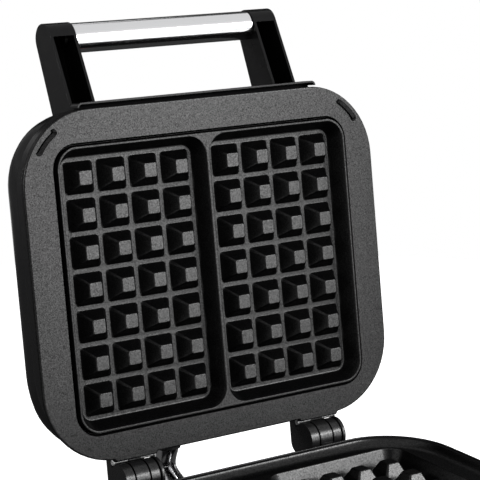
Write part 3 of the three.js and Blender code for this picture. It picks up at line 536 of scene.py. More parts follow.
class Finish(Shading):
    """Material with a Principled shader."""

    def __init__(self, name, **surface):
        self.material = bpy.data.materials.new(name)
        self.material.use_nodes = True
        super().__init__(self.material.node_tree)
        self.shader = self.tree.nodes["Principled BSDF"]
        for socket, value in surface.items():
            self.shader.inputs[socket.replace("_", " ")].default_value = value

    def place(self, stretch=(1.0, 1.0, 1.0)):
        place = self.add("ShaderNodeTexCoord", output="Object")
        return self.add("ShaderNodeVectorMath", {"operation": "MULTIPLY"}, i0=place, i1=stretch)

    def noise(self, scale, detail=2.0, roughness=0.5, stretch=(1.0, 1.0, 1.0)):
        return self.add("ShaderNodeTexNoise", output="Fac", Scale=scale, Detail=detail,
                        Roughness=roughness, Vector=self.place(stretch))

    def feed(self, socket, value):
        self.tree.links.new(value.socket, self.shader.inputs[socket])

    def bump(self, height, strength, distance):
        bump = self.add("ShaderNodeBump", Strength=strength, Distance=distance, Height=height)
        self.feed("Normal", bump)


def spread(value, low, high):
    """Carries a noise, which stays near a half, to the range from low to high."""
    return ((value - NOISE_LOW) * NOISE_GAIN).clamp() * (high - low) + low


def coat_weight(grain, sheen):
    """Share of the bright coat, carried above and below the sheen by the grain."""
    return spread(grain, *(sheen * share for share in GRAIN_SPREAD))


def nonstick_finish(name, colour, sheen, place=None):
    """Speckled coating; on the plate with the given place the stud tops get a painted sheen, a stronger coat that
    makes them brighter.
    """
    finish = Finish(name, Specular_IOR_Level=0.0, Coat_Roughness=0.31, Coat_IOR=COAT_IOR)
    grain = finish.noise(1150.0, roughness=0.6)
    dark, light = ((*(c * share for c in colour), 1.0) for share in (0.6, 1.5))
    speckle = finish.add("ShaderNodeMix", {"data_type": "RGBA"}, output=2,
                         Factor=spread(grain, 0.0, 1.0), i6=dark, i7=light)
    finish.feed("Base Color", speckle)
    finish.feed("Roughness", spread(finish.noise(60.0, detail=3.0), 0.32, 0.38))
    shine = coat_weight(grain, sheen)
    # Painted sheen: the coat is stronger on the stud tops of the plate with the given place, so they look brighter
    if place:
        across = place.to_3x3().col[2]
        height = finish.add("ShaderNodeVectorMath", {"operation": "DOT_PRODUCT"}, output=1,
                            i0=finish.place(), i1=tuple(across)) - across.dot(place.translation)
        top = (LID_FLANGE + RIDGE_HEIGHT - POCKET_DEPTH + STUD_HEIGHT) * MM
        above = ((height - (top - TOP_SHEEN_BELOW)) * TOP_SHEEN_FADE_IN).clamp()
        below = ((top + TOP_SHEEN_ABOVE - height) * TOP_SHEEN_FADE_OUT).clamp()
        shine = shine * (above * below * TOP_SHEEN_GAIN + 1.0)
    finish.feed("Coat Weight", shine)
    finish.bump(grain, strength=0.35, distance=0.00012)
    return finish.material


def moulded_finish(name, colour, roughness, grain=2400.0, relief=0.12, gloss=0.035, sheen=0.0):
    """Plastic or casting with a fine grain; sheen is the share of a hard, bright coat."""
    finish = Finish(name, Base_Color=(*colour, 1.0), Specular_IOR_Level=gloss,
                    Coat_Roughness=roughness * COAT_ROUGHNESS_SHARE, Coat_IOR=COAT_IOR)
    height = finish.noise(grain, roughness=0.6)
    wear = finish.noise(45.0, detail=3.0)
    finish.feed("Roughness", spread(wear, roughness - 0.04, roughness + 0.04))
    if sheen:
        finish.feed("Coat Weight", coat_weight(height, sheen))
    finish.bump(height, relief, distance=0.00008)
    return finish.material


def metal_finish(name, colour, roughness, streaks=(1.0, 1.0, 1.0)):
    """Metal with faint streaks of its polish, stretched along an axis."""
    finish = Finish(name, Base_Color=(*colour, 1.0), Metallic=1.0)
    polish = finish.noise(900.0, stretch=streaks)
    finish.feed("Roughness", spread(polish, roughness * 0.92, roughness * 1.1))
    return finish.material


class PlateSettings(bpy.types.PropertyGroup):
    coating: bpy.props.FloatVectorProperty(
        name="Coating colour", description="Colour of the non-stick coating",
        subtype="COLOR", size=3, min=0.0, max=1.0, default=(0.0016, 0.0016, 0.0017))
    edge: bpy.props.FloatProperty(
        name="Edge radius", description="Radius on the outer edge of the plates",
        subtype="DISTANCE", unit="LENGTH", min=0.0002, max=0.0015, default=0.0009)


class HousingSettings(bpy.types.PropertyGroup):
    colour: bpy.props.FloatVectorProperty(
        name="Housing colour", description="Colour of the moulded housings",
        subtype="COLOR", size=3, min=0.0, max=1.0, default=(0.006, 0.006, 0.0063))
    roughness: bpy.props.FloatProperty(
        name="Housing roughness", description="0 is a mirror and 1 is chalky",
        subtype="FACTOR", min=0.1, max=1.0, default=0.24)
    hinge_colour: bpy.props.FloatVectorProperty(
        name="Hinge colour", description="Colour of the hinge castings",
        subtype="COLOR", size=3, min=0.0, max=1.0, default=(0.009, 0.009, 0.0093))


class MetalSettings(bpy.types.PropertyGroup):
    polished: bpy.props.FloatVectorProperty(
        name="Polished metal colour", description="Colour of the tube and the conduit",
        subtype="COLOR", size=3, min=0.0, max=1.0, default=(0.63, 0.63, 0.64))


class StageSettings(bpy.types.PropertyGroup):
    softbox: bpy.props.FloatProperty(
        name="Softbox power", description="Power of the lamp in front, in watts",
        subtype="POWER", unit="POWER", min=0.0, max=500.0, default=10.0)
    surround: bpy.props.FloatProperty(
        name="Surround", description="Strength of the soft light from all sides",
        subtype="FACTOR", min=0.0, max=2.0, default=0.2)


FINISHES = {}


def make_finishes(scene):
    """A material for each material slot, and a black one for the screws in the arms."""
    housing = scene.waffle_housing
    coating = scene.waffle_plates.coating
    FINISHES.update({
        # Both plates carry one coating; its coat is stronger on the lower plate (0.155) than on the upper one
        # (0.125), a painted difference of light between the plates
        "nonstick_plate": nonstick_finish("Non-stick coating", coating, 0.155),
        "upper_plate": nonstick_finish("Rubbed non-stick coating", coating, 0.125, LID_PLACE),
        "housing": moulded_finish("Black housing", housing.colour, housing.roughness,
                                  relief=0.06, sheen=0.05),
        "hinge_black": moulded_finish("Black hinge casting", housing.hinge_colour, 0.36,
                                      grain=1300.0, relief=0.35, gloss=0.0, sheen=0.17),
        "polished_steel": metal_finish("Polished steel", scene.waffle_metal.polished, 0.15,
                                       streaks=(0.05, 1.0, 1.0)),
        "steel": metal_finish("Plain steel", (0.4, 0.4, 0.4), 0.5),
        # Darker steel than the rods, given to the screws in the arms
        "blackened": metal_finish("Blackened steel", (0.03, 0.03, 0.03), 0.5),
        "rubber": moulded_finish("Rubber", (0.016, 0.016, 0.016), 0.8, grain=900.0, relief=0.3),
        "ceramic": moulded_finish("Unglazed ceramic", (0.7, 0.66, 0.57), 0.6,
                                  grain=700.0, relief=0.3),
        "red_lens": moulded_finish("Red lens", (0.4, 0.01, 0.008), 0.12, relief=0.02),
        "green_lens": moulded_finish("Green lens", (0.01, 0.2, 0.03), 0.12, relief=0.02),
    })


def install(obj, body, slot, *nodes):
    """Gives a piece its finish, the body it rides on and the solids it stands for."""
    obj.data.materials.append(FINISHES[slot])
    if body:
        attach(obj, body)
    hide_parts(*nodes)
    return obj


def build_stud(solid, x, y, floor):
    """Tapered stud with rounded edges. Returns the loop at its foot."""
    base, head = STUD_BASE / 2, STUD_TOP_WIDTH / 2
    lean = (base - head) / STUD_HEIGHT
    flank = [(lean * height, height) for height in (STUD_FLANK_LOW, STUD_HEIGHT - STUD_SHOULDER)]
    crown = [(base - head + pull, STUD_HEIGHT - drop) for pull, drop in STUD_HEAD]
    profile = (*STUD_FOOT, *flank, *crown)
    rings = []
    for pull, height in profile:
        half = base - pull
        share = min(height / STUD_HEIGHT, 1.0)
        radius = STUD_CORNER * (1 - share) + STUD_TOP_CORNER * share
        outline = rounded(x - half, x + half, y - half, y + half, radius, steps=STUD_STEPS)
        rings.append(solid.ring(outline, floor + height))
    solid.chain(rings)
    solid.cap(rings[-1])
    return rings[0]


def build_pocket(solid, side, flange):
    """Walls, floor and studs of one pocket. Returns the loop where its wall meets the ridge."""
    floor = flange + RIDGE_HEIGHT - POCKET_DEPTH
    left, right = sorted((side * POCKET_INNER, side * POCKET_OUTER))
    near, far = GRID_CENTRE - POCKET_HALF, GRID_CENTRE + POCKET_HALF
    mouth = [(WALL_DRAFT + out, POCKET_DEPTH - drop) for out, drop in POCKET_MOUTH]
    rings = []
    for out, height in (*POCKET_FLOOR, *mouth):
        outline = rounded(left - out, right + out, near - out, far + out, POCKET_CORNER + out)
        rings.append(solid.ring(outline, floor + height))
    solid.chain(rings)
    feet = []
    for column in range(GRID_COLUMNS):
        x = side * (POCKET_INNER + CHANNEL_WIDTH + STUD_BASE / 2 + column * CELL_PITCH)
        for row in range(GRID_ROWS):
            y = GRID_CENTRE + (row - (GRID_ROWS - 1) / 2) * CELL_PITCH
            feet.append(build_stud(solid, x, y, floor))
    solid.fill(rings[0], *feet)
    return rings[-1]


def centred(half_x, half_y, radius):
    """Rounded rectangle round the middle of the grid."""
    return rounded(-half_x, half_x, GRID_CENTRE - half_y, GRID_CENTRE + half_y, radius)


def build_ridge(solid, flange):
    """Pockets, ridge and groove. Returns the loop where the groove meets the flange."""
    top = flange + RIDGE_HEIGHT
    mouths = [build_pocket(solid, side, flange) for side in (-1, 1)]
    profile = [(grow, top - drop) for grow, drop in RIDGE_TOP]
    profile += [(grow, flange - GROOVE_DEPTH) for grow in GROOVE_FLOOR]
    profile += [(GROOVE_WIDTH + grow, flange - drop) for grow, drop in GROOVE_SIDE]
    rings = [solid.ring(centred(RIDGE_X + grow, RIDGE_Y + grow, RIDGE_CORNER + grow), z)
             for grow, z in profile]
    solid.chain(rings)
    solid.fill(rings[0], *mouths)
    return rings[-1]


def build_tub(solid, back, flange):
    """Underside of a plate: its flat back and the tub of the pockets that stands out of it."""
    under = flange + RIDGE_HEIGHT - POCKET_DEPTH - PLATE_THICKNESS
    profile = [(PLATE_THICKNESS + TUB_FLARE, flange - PLATE_THICKNESS)]
    profile += [(PLATE_THICKNESS + grow, under + rise) for grow, rise in TUB_FLOOR]
    rings = [solid.ring(centred(POCKET_OUTER + grow, POCKET_HALF + grow, POCKET_CORNER + grow), z)
             for grow, z in profile]
    solid.fill(back, rings[0])
    solid.chain(rings)
    solid.cap(rings[-1])


def drawn_in(side, near, far, corner, near_corner):
    """The plate's rectangle, smaller at its sides, near edge and far edge."""
    return rounded(-PLATE_HALF + side, PLATE_HALF - side, PLATE_NEAR + near, PLATE_FAR - far,
                   corner, near_corner)


def plate_outline(inset, near_corner=PLATE_CORNER):
    """Outline of the plates, the lid's band and the base, smaller by the inset."""
    return drawn_in(inset, inset, inset, PLATE_CORNER - inset, near_corner - inset)


def tabbed_outline(inset):
    """Upper plate's outline: a rounded rectangle with a shallow tab at each hinge."""
    points = plate_outline(inset)
    near = PLATE_NEAR + inset
    half = TAB_WIDTH / 2 - inset
    start = next(i for i, (x, y) in enumerate(points) if abs(y - near) < WELD and x < 0)
    tabs = []
    for centre in (-HINGE_SPACING / 2, HINGE_SPACING / 2):
        tabs += [(centre - half - out, near - TAB_HEIGHT * drop) for out, drop in TAB_SHOULDER]
        tabs += [(centre + half + out, near - TAB_HEIGHT * drop)
                 for out, drop in reversed(TAB_SHOULDER)]
    return points[:start + 1] + tabs + points[start + 1:]


def finger_slot(side, inset):
    """Outline of the blind slot that follows the far corner."""
    radius = PLATE_CORNER - FINGER_SLOT_INSET
    cx, cy = side * (PLATE_HALF - PLATE_CORNER), PLATE_FAR - PLATE_CORNER
    middle = QUARTER / 2 if side > 0 else QUARTER * 1.5
    swing = FINGER_SLOT_LENGTH / radius / 2
    start, end = middle - swing, middle + swing
    half = FINGER_SLOT_WIDTH / 2 - inset

    def slot_end(turn, first, last):
        x, y = cx + radius * math.cos(turn), cy + radius * math.sin(turn)
        return arc(x, y, half, first, last, steps=6)[1:-1]

    points = arc(cx, cy, radius + half, start, end)
    points += slot_end(end, end, end + math.pi)
    points += arc(cx, cy, radius - half, end, start)
    return points + slot_end(start, start + math.pi, start + 2 * math.pi)


def build_upper_plate(edge):
    """Upper plate with its two blind finger slots and a tab at each hinge."""
    solid = Solid()
    holes = [build_ridge(solid, LID_FLANGE)]
    lean_x, lean_y = FINGER_SLOT_LEAN
    for side in (-1, 1):
        rings = []
        for inset, depth, pull in FINGER_SLOT_PROFILE:
            outline = [(x - pull * lean_x, y - side * pull * lean_y)
                       for x, y in finger_slot(side, inset)]
            rings.append(solid.ring(outline, LID_FLANGE - depth))
        solid.chain(rings)
        solid.cap(rings[-1])
        holes.append(rings[0])
    back = LID_FLANGE - PLATE_THICKNESS
    profile = [(inset, LID_FLANGE - drop) for inset, drop in rounding(edge, EDGE_STEPS)]
    profile += [(0.0, back + BACK_EDGE), (BACK_EDGE, back)]
    rings = [solid.ring(tabbed_outline(inset), z) for inset, z in profile]
    solid.chain(rings)
    solid.fill(rings[0], *holes)
    build_tub(solid, rings[-1], LID_FLANGE)
    return solid.object("upper_plate_face", LID_PLACE)


def build_lower_plate(edge):
    """The lower plate has an upturned edge that keeps batter in."""
    solid = Solid()
    inner = build_ridge(solid, BASE_FLANGE)
    outer = RIM_WIDTH + SEAT_GAP
    top = BASE_RIM - RIM_WIDTH / 4
    rise = top - BASE_FLANGE
    radius = (rise - RIM_FACE) / (1 - math.cos(COVE_TURN))
    turns = [COVE_TURN * i / COVE_STEPS for i in range(COVE_STEPS + 1)]
    profile = [(outer + COVE_GAP + radius * (math.sin(COVE_TURN) - math.sin(turn)),
                BASE_FLANGE + radius * (1 - math.cos(turn))) for turn in turns]
    profile += [(outer + inset, top - drop) for inset, drop in RIM_TOP]
    back = BASE_FLANGE - PLATE_THICKNESS
    profile += [(outer, back + edge), (outer + edge, back)]
    rings = [solid.ring(plate_outline(inset), z) for inset, z in profile]
    solid.chain(rings)
    solid.fill(rings[0], inner)
    build_tub(solid, rings[-1], BASE_FLANGE)
    return solid.object("lower_plate_face", BASE_PLACE)


class MakeGridPlates(bpy.types.Operator):
    """Both grid plates with their pockets, studs, ridge and groove"""
    bl_idname = "waffle.make_grid_plates"
    bl_label = "Grid plates"

    def execute(self, context):
        edge = context.scene.waffle_plates.edge / MM
        plate = install(build_upper_plate(edge), "lid", "nonstick_plate", "upper_grid_plate")
        plate.material_slots[0].material = FINISHES["upper_plate"]
        install(build_lower_plate(edge), "base", "nonstick_plate", "lower_grid_plate")
        return {"FINISHED"}


def build_band():
    """Band behind the upper plate, with the ledge that stands up in front of the handle."""
    solid = Solid()
    front, back = BAND_FRONT + SEAT_GAP - HAIRLINE, BAND_BACK - SEAT_GAP + HAIRLINE
    profile = ((BAND_EDGE, front), (0.0, front - BAND_EDGE), (0.0, back + BAND_BACK_EDGE),
               (BAND_BACK_EDGE, back), (BAND_INNER, back), (BAND_INNER, front))
    rings = [solid.ring(plate_outline(inset, LID_NEAR_CORNER), z) for inset, z in profile]
    solid.chain(rings + rings[:1])
    low = LEDGE_NEAR - LEDGE_THICKNESS / 2
    inset = LEDGE_HALF - LEDGE_ROUND
    inner = LEDGE_ROUND - LEDGE_LIP
    outline = arc(inset, low, LEDGE_ROUND, 0, QUARTER)
    outline += arc(-inset, low, LEDGE_ROUND, QUARTER, math.pi)
    outline += arc(-inset, low, inner, math.pi, QUARTER) + arc(inset, low, inner, QUARTER, 0)
    solid.prism(outline, BAND_BACK, LID_FLANGE)
    near, far = PLATE_FAR - LEDGE_THICKNESS, low + inner + LEDGE_LIP / 2
    web = [(near, BAND_BACK), (far, BAND_BACK), (far, BAND_BACK + LEDGE_LIP),
           (near, BAND_BACK + LEDGE_ROUND)]
    solid.prism(web, -LEDGE_HALF + LEDGE_LIP, LEDGE_HALF - LEDGE_LIP, "x")
    return solid.object("lid_band", LID_PLACE, edge=0.35)


def shell_outline(depth, inset):
    """Outline of the lid's cover at a depth behind the plate's face."""
    behind = depth - SHELL_START
    pinch = CORNER_PINCH * min(behind / (SIDE_STRAIGHT - SHELL_START), 1.0)
    turn = min(behind / (LID_DEPTH - SHELL_START), 1.0)
    roll = EDGE_ROLL * (1 - math.cos(math.asin(turn)))
    side_turn = max(0.0, (depth - SIDE_STRAIGHT) / (LID_DEPTH - SIDE_STRAIGHT))
    side = SIDE_ROLL * (1 - math.sqrt(max(0.0, 1 - side_turn * side_turn)))
    far = FAR_DRAFT * behind + roll
    near = NEAR_DRAFT * behind + roll
    return drawn_in(side + inset, near + inset, far + inset, PLATE_CORNER - pinch - inset,
                    LID_NEAR_CORNER - NEAR_PINCH_SHARE * pinch - inset)


def cover_skin(inset):
    """Outlines and heights of the cover's skin, from its rim to its crown."""
    rise = LID_DEPTH - SHELL_START
    skin = []
    for i in range(DOME_STEPS + 1):
        depth = SHELL_START + rise * math.sin(QUARTER * i / DOME_STEPS)
        skin.append((shell_outline(depth, inset), LID_FLANGE - depth + inset))
    far, near = (draft * rise + EDGE_ROLL for draft in (FAR_DRAFT, NEAR_DRAFT))
    for i in range(1, CROWN_STEPS + 1):
        share = i / CROWN_STEPS
        pull = CROWN_INSET * share
        outline = drawn_in(SIDE_ROLL + pull, near + pull, far + pull, PLATE_CORNER - CORNER_PINCH,
                           LID_NEAR_CORNER - NEAR_PINCH_SHARE * CORNER_PINCH)
        sag = CROWN_HEIGHT * (1 - (1 - share) ** 2)
        skin.append((outline, LID_FLANGE - LID_DEPTH - sag + inset))
    return skin


def build_dome():
    """Cover of the lid: straight sides, a rolled edge and a slightly crowned back."""
    solid = Solid()
    lip = [(shell_outline(SHELL_START, SHELL_LIP), SHELL_FRONT),
           (shell_outline(SHELL_START + SHELL_LIP, 0.0), SHELL_FRONT - SHELL_LIP)]
    section = cover_skin(SHELL_WALL)[::-1] + lip + cover_skin(0.0)[1:]
    solid.capped([solid.ring(outline, z) for outline, z in section])
    return solid.object("lid_dome", LID_PLACE)


def build_lamp(name, x):
    """Domed lens in the lid's outer face."""
    solid = Solid()
    back = LID_FLANGE - LID_DEPTH - CROWN_HEIGHT
    y = PLATE_FAR - EDGE_ROLL - CROWN_INSET / 2
    turns = [QUARTER * i / CROWN_STEPS for i in range(1, CROWN_STEPS + 1)]
    dome = [(back - LAMP_RISE * math.cos(turn), LAMP_RADIUS * math.sin(turn)) for turn in turns]
    solid.turn(dome + [(back + LAMP_ROOT, LAMP_RADIUS)], (x, y), "z", SMALL_STEPS)
    return solid.object(name, LID_PLACE)


class MakeLid(bpy.types.Operator):
    """Band with its ledge, cover and lamps of the lid"""
    bl_idname = "waffle.make_lid"
    bl_label = "Lid housing"

    def execute(self, context):
        install(build_band(), "lid", "housing", "lid_frame")
        install(build_dome(), "lid", "housing", "lid_shell")
        for name, slot, side in (("power_lens", "red_lens", -1), ("ready_lens", "green_lens", 1)):
            node = name.replace("lens", "lamp")
            install(build_lamp(name, side * LAMP_SPACING / 2), "lid", slot, node)
        return {"FINISHED"}


def arm_sides(inset):
    """Angles at which the arm's back and front lines touch its round top."""
    angles = []
    for z, sign in ((ARM_ROOT_BACK + inset, 1), (ARM_ROOT_FRONT - inset, -1)):
        dy, dz = ARM_ROOT - TUBE_REACH, z - TUBE_DROP
        swing = math.acos((ARM_TOP_RADIUS - inset) / math.hypot(dy, dz))
        angles.append(math.atan2(dz, dy) + sign * swing)
    return angles[0], angles[1] + 2 * math.pi


def arm_line(inset, front, y):
    """Height of the arm's front or back line at a distance from the hinge."""
    angle = arm_sides(inset)[1 if front else 0]
    radius = ARM_TOP_RADIUS - inset
    touch_y = TUBE_REACH + radius * math.cos(angle)
    touch_z = TUBE_DROP + radius * math.sin(angle)
    root_z = ARM_ROOT_FRONT - inset if front else ARM_ROOT_BACK + inset
    return root_z + (touch_z - root_z) * (y - ARM_ROOT) / (touch_y - ARM_ROOT)


def build_arm(name, side):
    """Handle arm: a tapered channel, open to the front, with a round top."""
    solid = Solid()
    start, end = arm_sides(0.0)
    foot = ARM_ROOT + ARM_FOOT
    seat = SHELL_FRONT - ARM_FOOT_GAP
    outline = [(LEDGE_NEAR, arm_line(0.0, True, LEDGE_NEAR)), (LEDGE_NEAR, seat),
               (foot, seat), (foot, arm_line(0.0, False, foot))]
    outline += arc(TUBE_REACH, TUBE_DROP, ARM_TOP_RADIUS, start, end, steps=24)
    low, high = sorted((side * ARM_INNER, side * ARM_OUTER))
    solid.prism(outline, low, high, "x")
    arm = solid.bare(name, LID_PLACE)
    hollow = Solid()
    back = [(y, arm_line(ARM_WALL, False, y)) for y in (ARM_HOLLOW_LOW, ARM_HOLLOW_HIGH)]
    back += [(ARM_HOLLOW_HIGH, ARM_CUT_FRONT), (ARM_HOLLOW_LOW, ARM_CUT_FRONT)]
    hollow.prism(back, low + ARM_WALL, high - ARM_WALL, "x")
    cut_out(arm, hollow.bare("arm_hollow", LID_PLACE))
    return shade(arm, edge=0.8)


def build_tube():
    """Round tube between the arms."""
    solid = Solid()
    half = ARM_INNER - SEAT_GAP
    profile = edge_profile(-half, half, TUBE_RADIUS, edge=0.5)
    solid.turn(profile, (TUBE_REACH, TUBE_DROP), "x", steps=72)
    return solid.object("grip_tube", LID_PLACE)


class MakeHandle(bpy.types.Operator):
    """Handle tube and its two arms"""
    bl_idname = "waffle.make_handle"
    bl_label = "Handle"

    def execute(self, context):
        install(build_tube(), "lid", "polished_steel", "handle_tube")
        for name, side in SIDES:
            install(build_arm(f"grip_arm_{name}", side), "lid", "housing", f"handle_arm_{name}")
        return {"FINISHED"}


def cheek_outline():
    """Outer form of a hinge knuckle on the lid, in y and z of the half frame."""
    top = PLATE_NEAR + HEEL_RADIUS
    front = math.asin(-CHEEK_FRONT / HINGE_RADIUS)
    outline = [(top, -HEEL), (top, -CHEEK_FRONT)]
    outline += arc(0.0, 0.0, HINGE_RADIUS, front, math.pi, steps=36)
    outline += arc(HEEL_RADIUS - HINGE_RADIUS, HEEL_RADIUS - HEEL, HEEL_RADIUS,
                   math.pi, math.pi + QUARTER, COVE_STEPS)
    return outline


def build_hinge_cheeks(name, left):
    """The lid's two knuckles and the webs that join them."""
    solid = Solid()
    for key in ("outer", "inner"):
        low, high = KNUCKLES[key]
        solid.prism(cheek_outline(), left + low, left + high, "x")
    low = left + KNUCKLES["outer"][1] / 2
    high = left + sum(KNUCKLES["inner"]) / 2
    top = PLATE_NEAR + HEEL_RADIUS
    reach = HINGE_RADIUS + SEAT_GAP
    for box in ((-WEB_FLOOR, top, -HEEL, -reach), (reach, top, -HEEL - LUG_EXTRA, -CHEEK_FRONT)):
        solid.prism(rounded(*box, radius=0.4, steps=2), low, high, "x")
    return solid.object(name, LID_PLACE, edge=0.55)


def build_bracket(name, left):
    """Knuckle, leg and screwed foot of a hinge on the base, in the axis frame."""
    solid = Solid()
    low, high = (left + place for place in KNUCKLES["centre"])
    wall = -PLATE_NEAR + SEAT_GAP
    start = math.pi + math.asin(BRACKET_LEG_TOP * BRACKET_LEG_SHARE / HINGE_RADIUS)
    end = -math.acos(BRACKET_LEG_BACK / HINGE_RADIUS)
    outline = arc(0.0, 0.0, HINGE_RADIUS, start, end, steps=40)
    outline += [(wall + BRACKET_THICKNESS, -BRACKET_LEG_DROP), (wall, -BRACKET_LEG_DROP),
                (wall, -BRACKET_LEG_TOP)]
    solid.prism(outline, low, high, "x")
    foot = rounded(left, left + HINGE_WIDTH, *BRACKET_FOOT, radius=3.0, steps=5)
    solid.prism(foot, wall, wall + BRACKET_THICKNESS, "y")
    return solid.object(name, AXIS_PLACE, edge=0.45)


def build_hinge_cap(name, left):
    """End disc of the hinge pin, and the pin inside the knuckles."""
    solid = Solid()
    low, high = (left + place for place in KNUCKLES["cap"])
    solid.turn(edge_profile(low, high, CAP_RADIUS, edge=0.7), (0.0, 0.0), "x")
    pivot = [(left + SEAT_GAP, PIVOT_RADIUS), (low, PIVOT_RADIUS)]
    solid.turn(pivot, (0.0, 0.0), "x", SMALL_STEPS)
    return solid.object(name, AXIS_PLACE)


def build_rod(name, left):
    """Plate pin: a thin rod with a round head at each end."""
    solid = Solid()
    centre = (PIN_RISE, -PIN_SETBACK)
    right = left + HINGE_WIDTH
    low, high = left - PIN_HEAD_REACH, right + PIN_HEAD_REACH
    shaft = [(low + PIN_HEAD_LAP, PIN_RADIUS), (high - PIN_HEAD_LAP, PIN_RADIUS)]
    solid.turn(shaft, centre, "x", SMALL_STEPS)
    for start, end in ((low, left - SEAT_GAP), (right + SEAT_GAP, high)):
        head = [(start + depth, radius) for depth, radius in PIN_DIMPLE]
        head += edge_profile(start, end, PIN_HEAD_RADIUS, edge=0.4, steps=3)
        solid.turn(head, centre, "x", SMALL_STEPS)
    return solid.object(name, LID_PLACE)


def build_latch(name, left):
    """Plate catch: the block that holds the plate pin in its middle."""
    solid = Solid()
    middle = left + HINGE_WIDTH / 2
    reach = HINGE_RADIUS + SEAT_GAP
    front, rear = BAND_FRONT, -PIN_SETBACK - CATCH_DEPTH
    top = PLATE_NEAR - SEAT_GAP
    start, end = math.asin(rear / reach), math.asin(front / reach)
    outline = arc(0.0, 0.0, reach, start, end) + [(top, front), (top, rear)]
    solid.prism(outline, middle - CATCH_WIDTH / 2, middle + CATCH_WIDTH / 2, "x")
    return solid.object(name, LID_PLACE, edge=0.4)


class MakeHinges(bpy.types.Operator):
    """Knuckles, brackets, pins and plate catches of both hinges"""
    bl_idname = "waffle.make_hinges"
    bl_label = "Hinges"

    def execute(self, context):
        pieces = (
            (build_hinge_cheeks, "hinge_cheeks", "lid", "hinge_black", "hinge_arm"),
            (build_bracket, "hinge_knuckle", "base", "hinge_black", "hinge_bracket"),
            (build_hinge_cap, "hinge_cap", "base", "hinge_black", "hinge_pin"),
            (build_rod, "plate_rod", "lid", "steel", "plate_pin"),
            (build_latch, "plate_latch", "lid", "hinge_black", "plate_catch"),
        )
        for end, side in SIDES:
            left = (side * HINGE_SPACING - HINGE_WIDTH) / 2
            for build, name, body, slot, node in pieces:
                install(build(f"{name}_{end}", left), body, slot, f"{node}_{end}")
        return {"FINISHED"}


def smooth_path(points, steps):
    """Points along a smooth curve through the given ones."""
    ends = [2 * Vector(points[0]) - Vector(points[1])]
    knots = ends + [Vector(p) for p in points] + [2 * Vector(points[-1]) - Vector(points[-2])]
    path = []
    for a, b, c, d in zip(knots, knots[1:], knots[2:], knots[3:]):
        for i in range(steps):
            t = i / steps
            path.append(0.5 * (2 * b + (c - a) * t + (2 * a - 5 * b + 4 * c - d) * t ** 2
                               + (3 * b - a - 3 * c + d) * t ** 3))
    return path + [knots[-2]]


def build_conduit():
    """Polished conduit that carries the wires from the base to the lid."""
    solid = Solid()
    path = smooth_path(CONDUIT_ROUTE, steps=10)
    rings = []
    for i, point in enumerate(path):
        tangent = (path[min(i + 1, len(path) - 1)] - path[max(i - 1, 0)]).normalized()
        rings.append(solid.loop([(CONDUIT_X + u, point.x - tangent.y * v, point.y + tangent.x * v)
                                 for u, v in circle(0.0, 0.0, CONDUIT_RADIUS, steps=48)]))
    solid.capped(rings)
    return solid.object("conduit_tube", AXIS_PLACE)


class MakeConduit(bpy.types.Operator):
    """Wiring conduit beside the left hinge"""
    bl_idname = "waffle.make_conduit"
    bl_label = "Wiring conduit"

    def execute(self, context):
        tube = install(build_conduit(), None, "polished_steel", "wiring_conduit")
        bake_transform(tube)
        return {"FINISHED"}


def build_base_shell():
    """Base housing: rounded foot, wall, rim bead and the seat of the lower plate."""
    solid = Solid()
    foot = COVER_TOP + SEAT_GAP
    profile = [(BASE_FOOT_LAP, foot + BASE_WALL), (BASE_FOOT_LAP, foot)]
    profile += [(inset, foot + rise) for inset, rise in rounding(BOTTOM_ROLL, ROLL_STEPS)]
    radius = RIM_LIP / 2
    for i in range(BEAD_STEPS + 1):
        turn = math.pi * i / BEAD_STEPS
        profile.append((radius * (1 - math.cos(turn)), BASE_RIM - radius * (1 - math.sin(turn))))
    seat = BASE_FLANGE - PLATE_THICKNESS - SEAT_GAP
    under = seat - SEAT_THICKNESS
    ledge = RIM_WIDTH + SEAT_WIDTH
    step = BASE_RIM - RIM_STEP
    profile += [(RIM_LIP + HAIRLINE, step + RIM_EDGE), (RIM_LIP + HAIRLINE + RIM_EDGE, step),
                (RIM_WIDTH - RIM_EDGE, step), (RIM_WIDTH, step - RIM_EDGE), (RIM_WIDTH, seat),
                (ledge, seat), (ledge, under), (BASE_WALL, under), (BASE_WALL, foot + BOTTOM_ROLL),
                (BASE_WALL + BASE_INNER_ROLL, foot + BASE_WALL)]
    rings = [solid.ring(plate_outline(inset), z) for inset, z in profile]
    solid.chain(rings + rings[:1])
    return solid.object("base_housing", BASE_PLACE)


def build_foot(name, x, y):
    """Round foot, 1 mm smaller in radius at the table."""
    solid = Solid()
    top = COVER_BOTTOM - SEAT_GAP
    profile = edge_profile(top - FOOT_HEIGHT, top, FOOT_RADIUS, edge=1.2)
    solid.turn([(w, r - (top - w) / FOOT_HEIGHT) for w, r in profile], (x, y))
    return solid.object(name, BASE_PLACE)


class MakeBase(bpy.types.Operator):
    """Base housing and feet"""
    bl_idname = "waffle.make_base"
    bl_label = "Base housing"

    def execute(self, context):
        install(build_base_shell(), "base", "housing", "base_shell")
        ends = (("rear", PLATE_NEAR + FOOT_REAR_INSET), ("front", PLATE_FAR - FOOT_INSET))
        for name, side in SIDES:
            for end, y in ends:
                pad = build_foot(f"foot_pad_{end}_{name}", -side * (PLATE_HALF - FOOT_INSET), y)
                install(pad, "base", "rubber", f"foot_{end}_{name}")
        return {"FINISHED"}


class DressSolids(bpy.types.Operator):
    """Finishes on the solids that are shown as they are"""
    bl_idname = "waffle.dress_solids"
    bl_label = "Finishes"

    def execute(self, context):
        make_finishes(context.scene)
        slots = {part["node"]: part["material_slot"] for part in frame["record"]["subparts"]}
        for name, node in frame["nodes"].items():
            finish = "blackened" if name.startswith("handle_screw") else slots[name]
            for slot in node.material_slots:
                slot.material = FINISHES[finish]
        return {"FINISHED"}


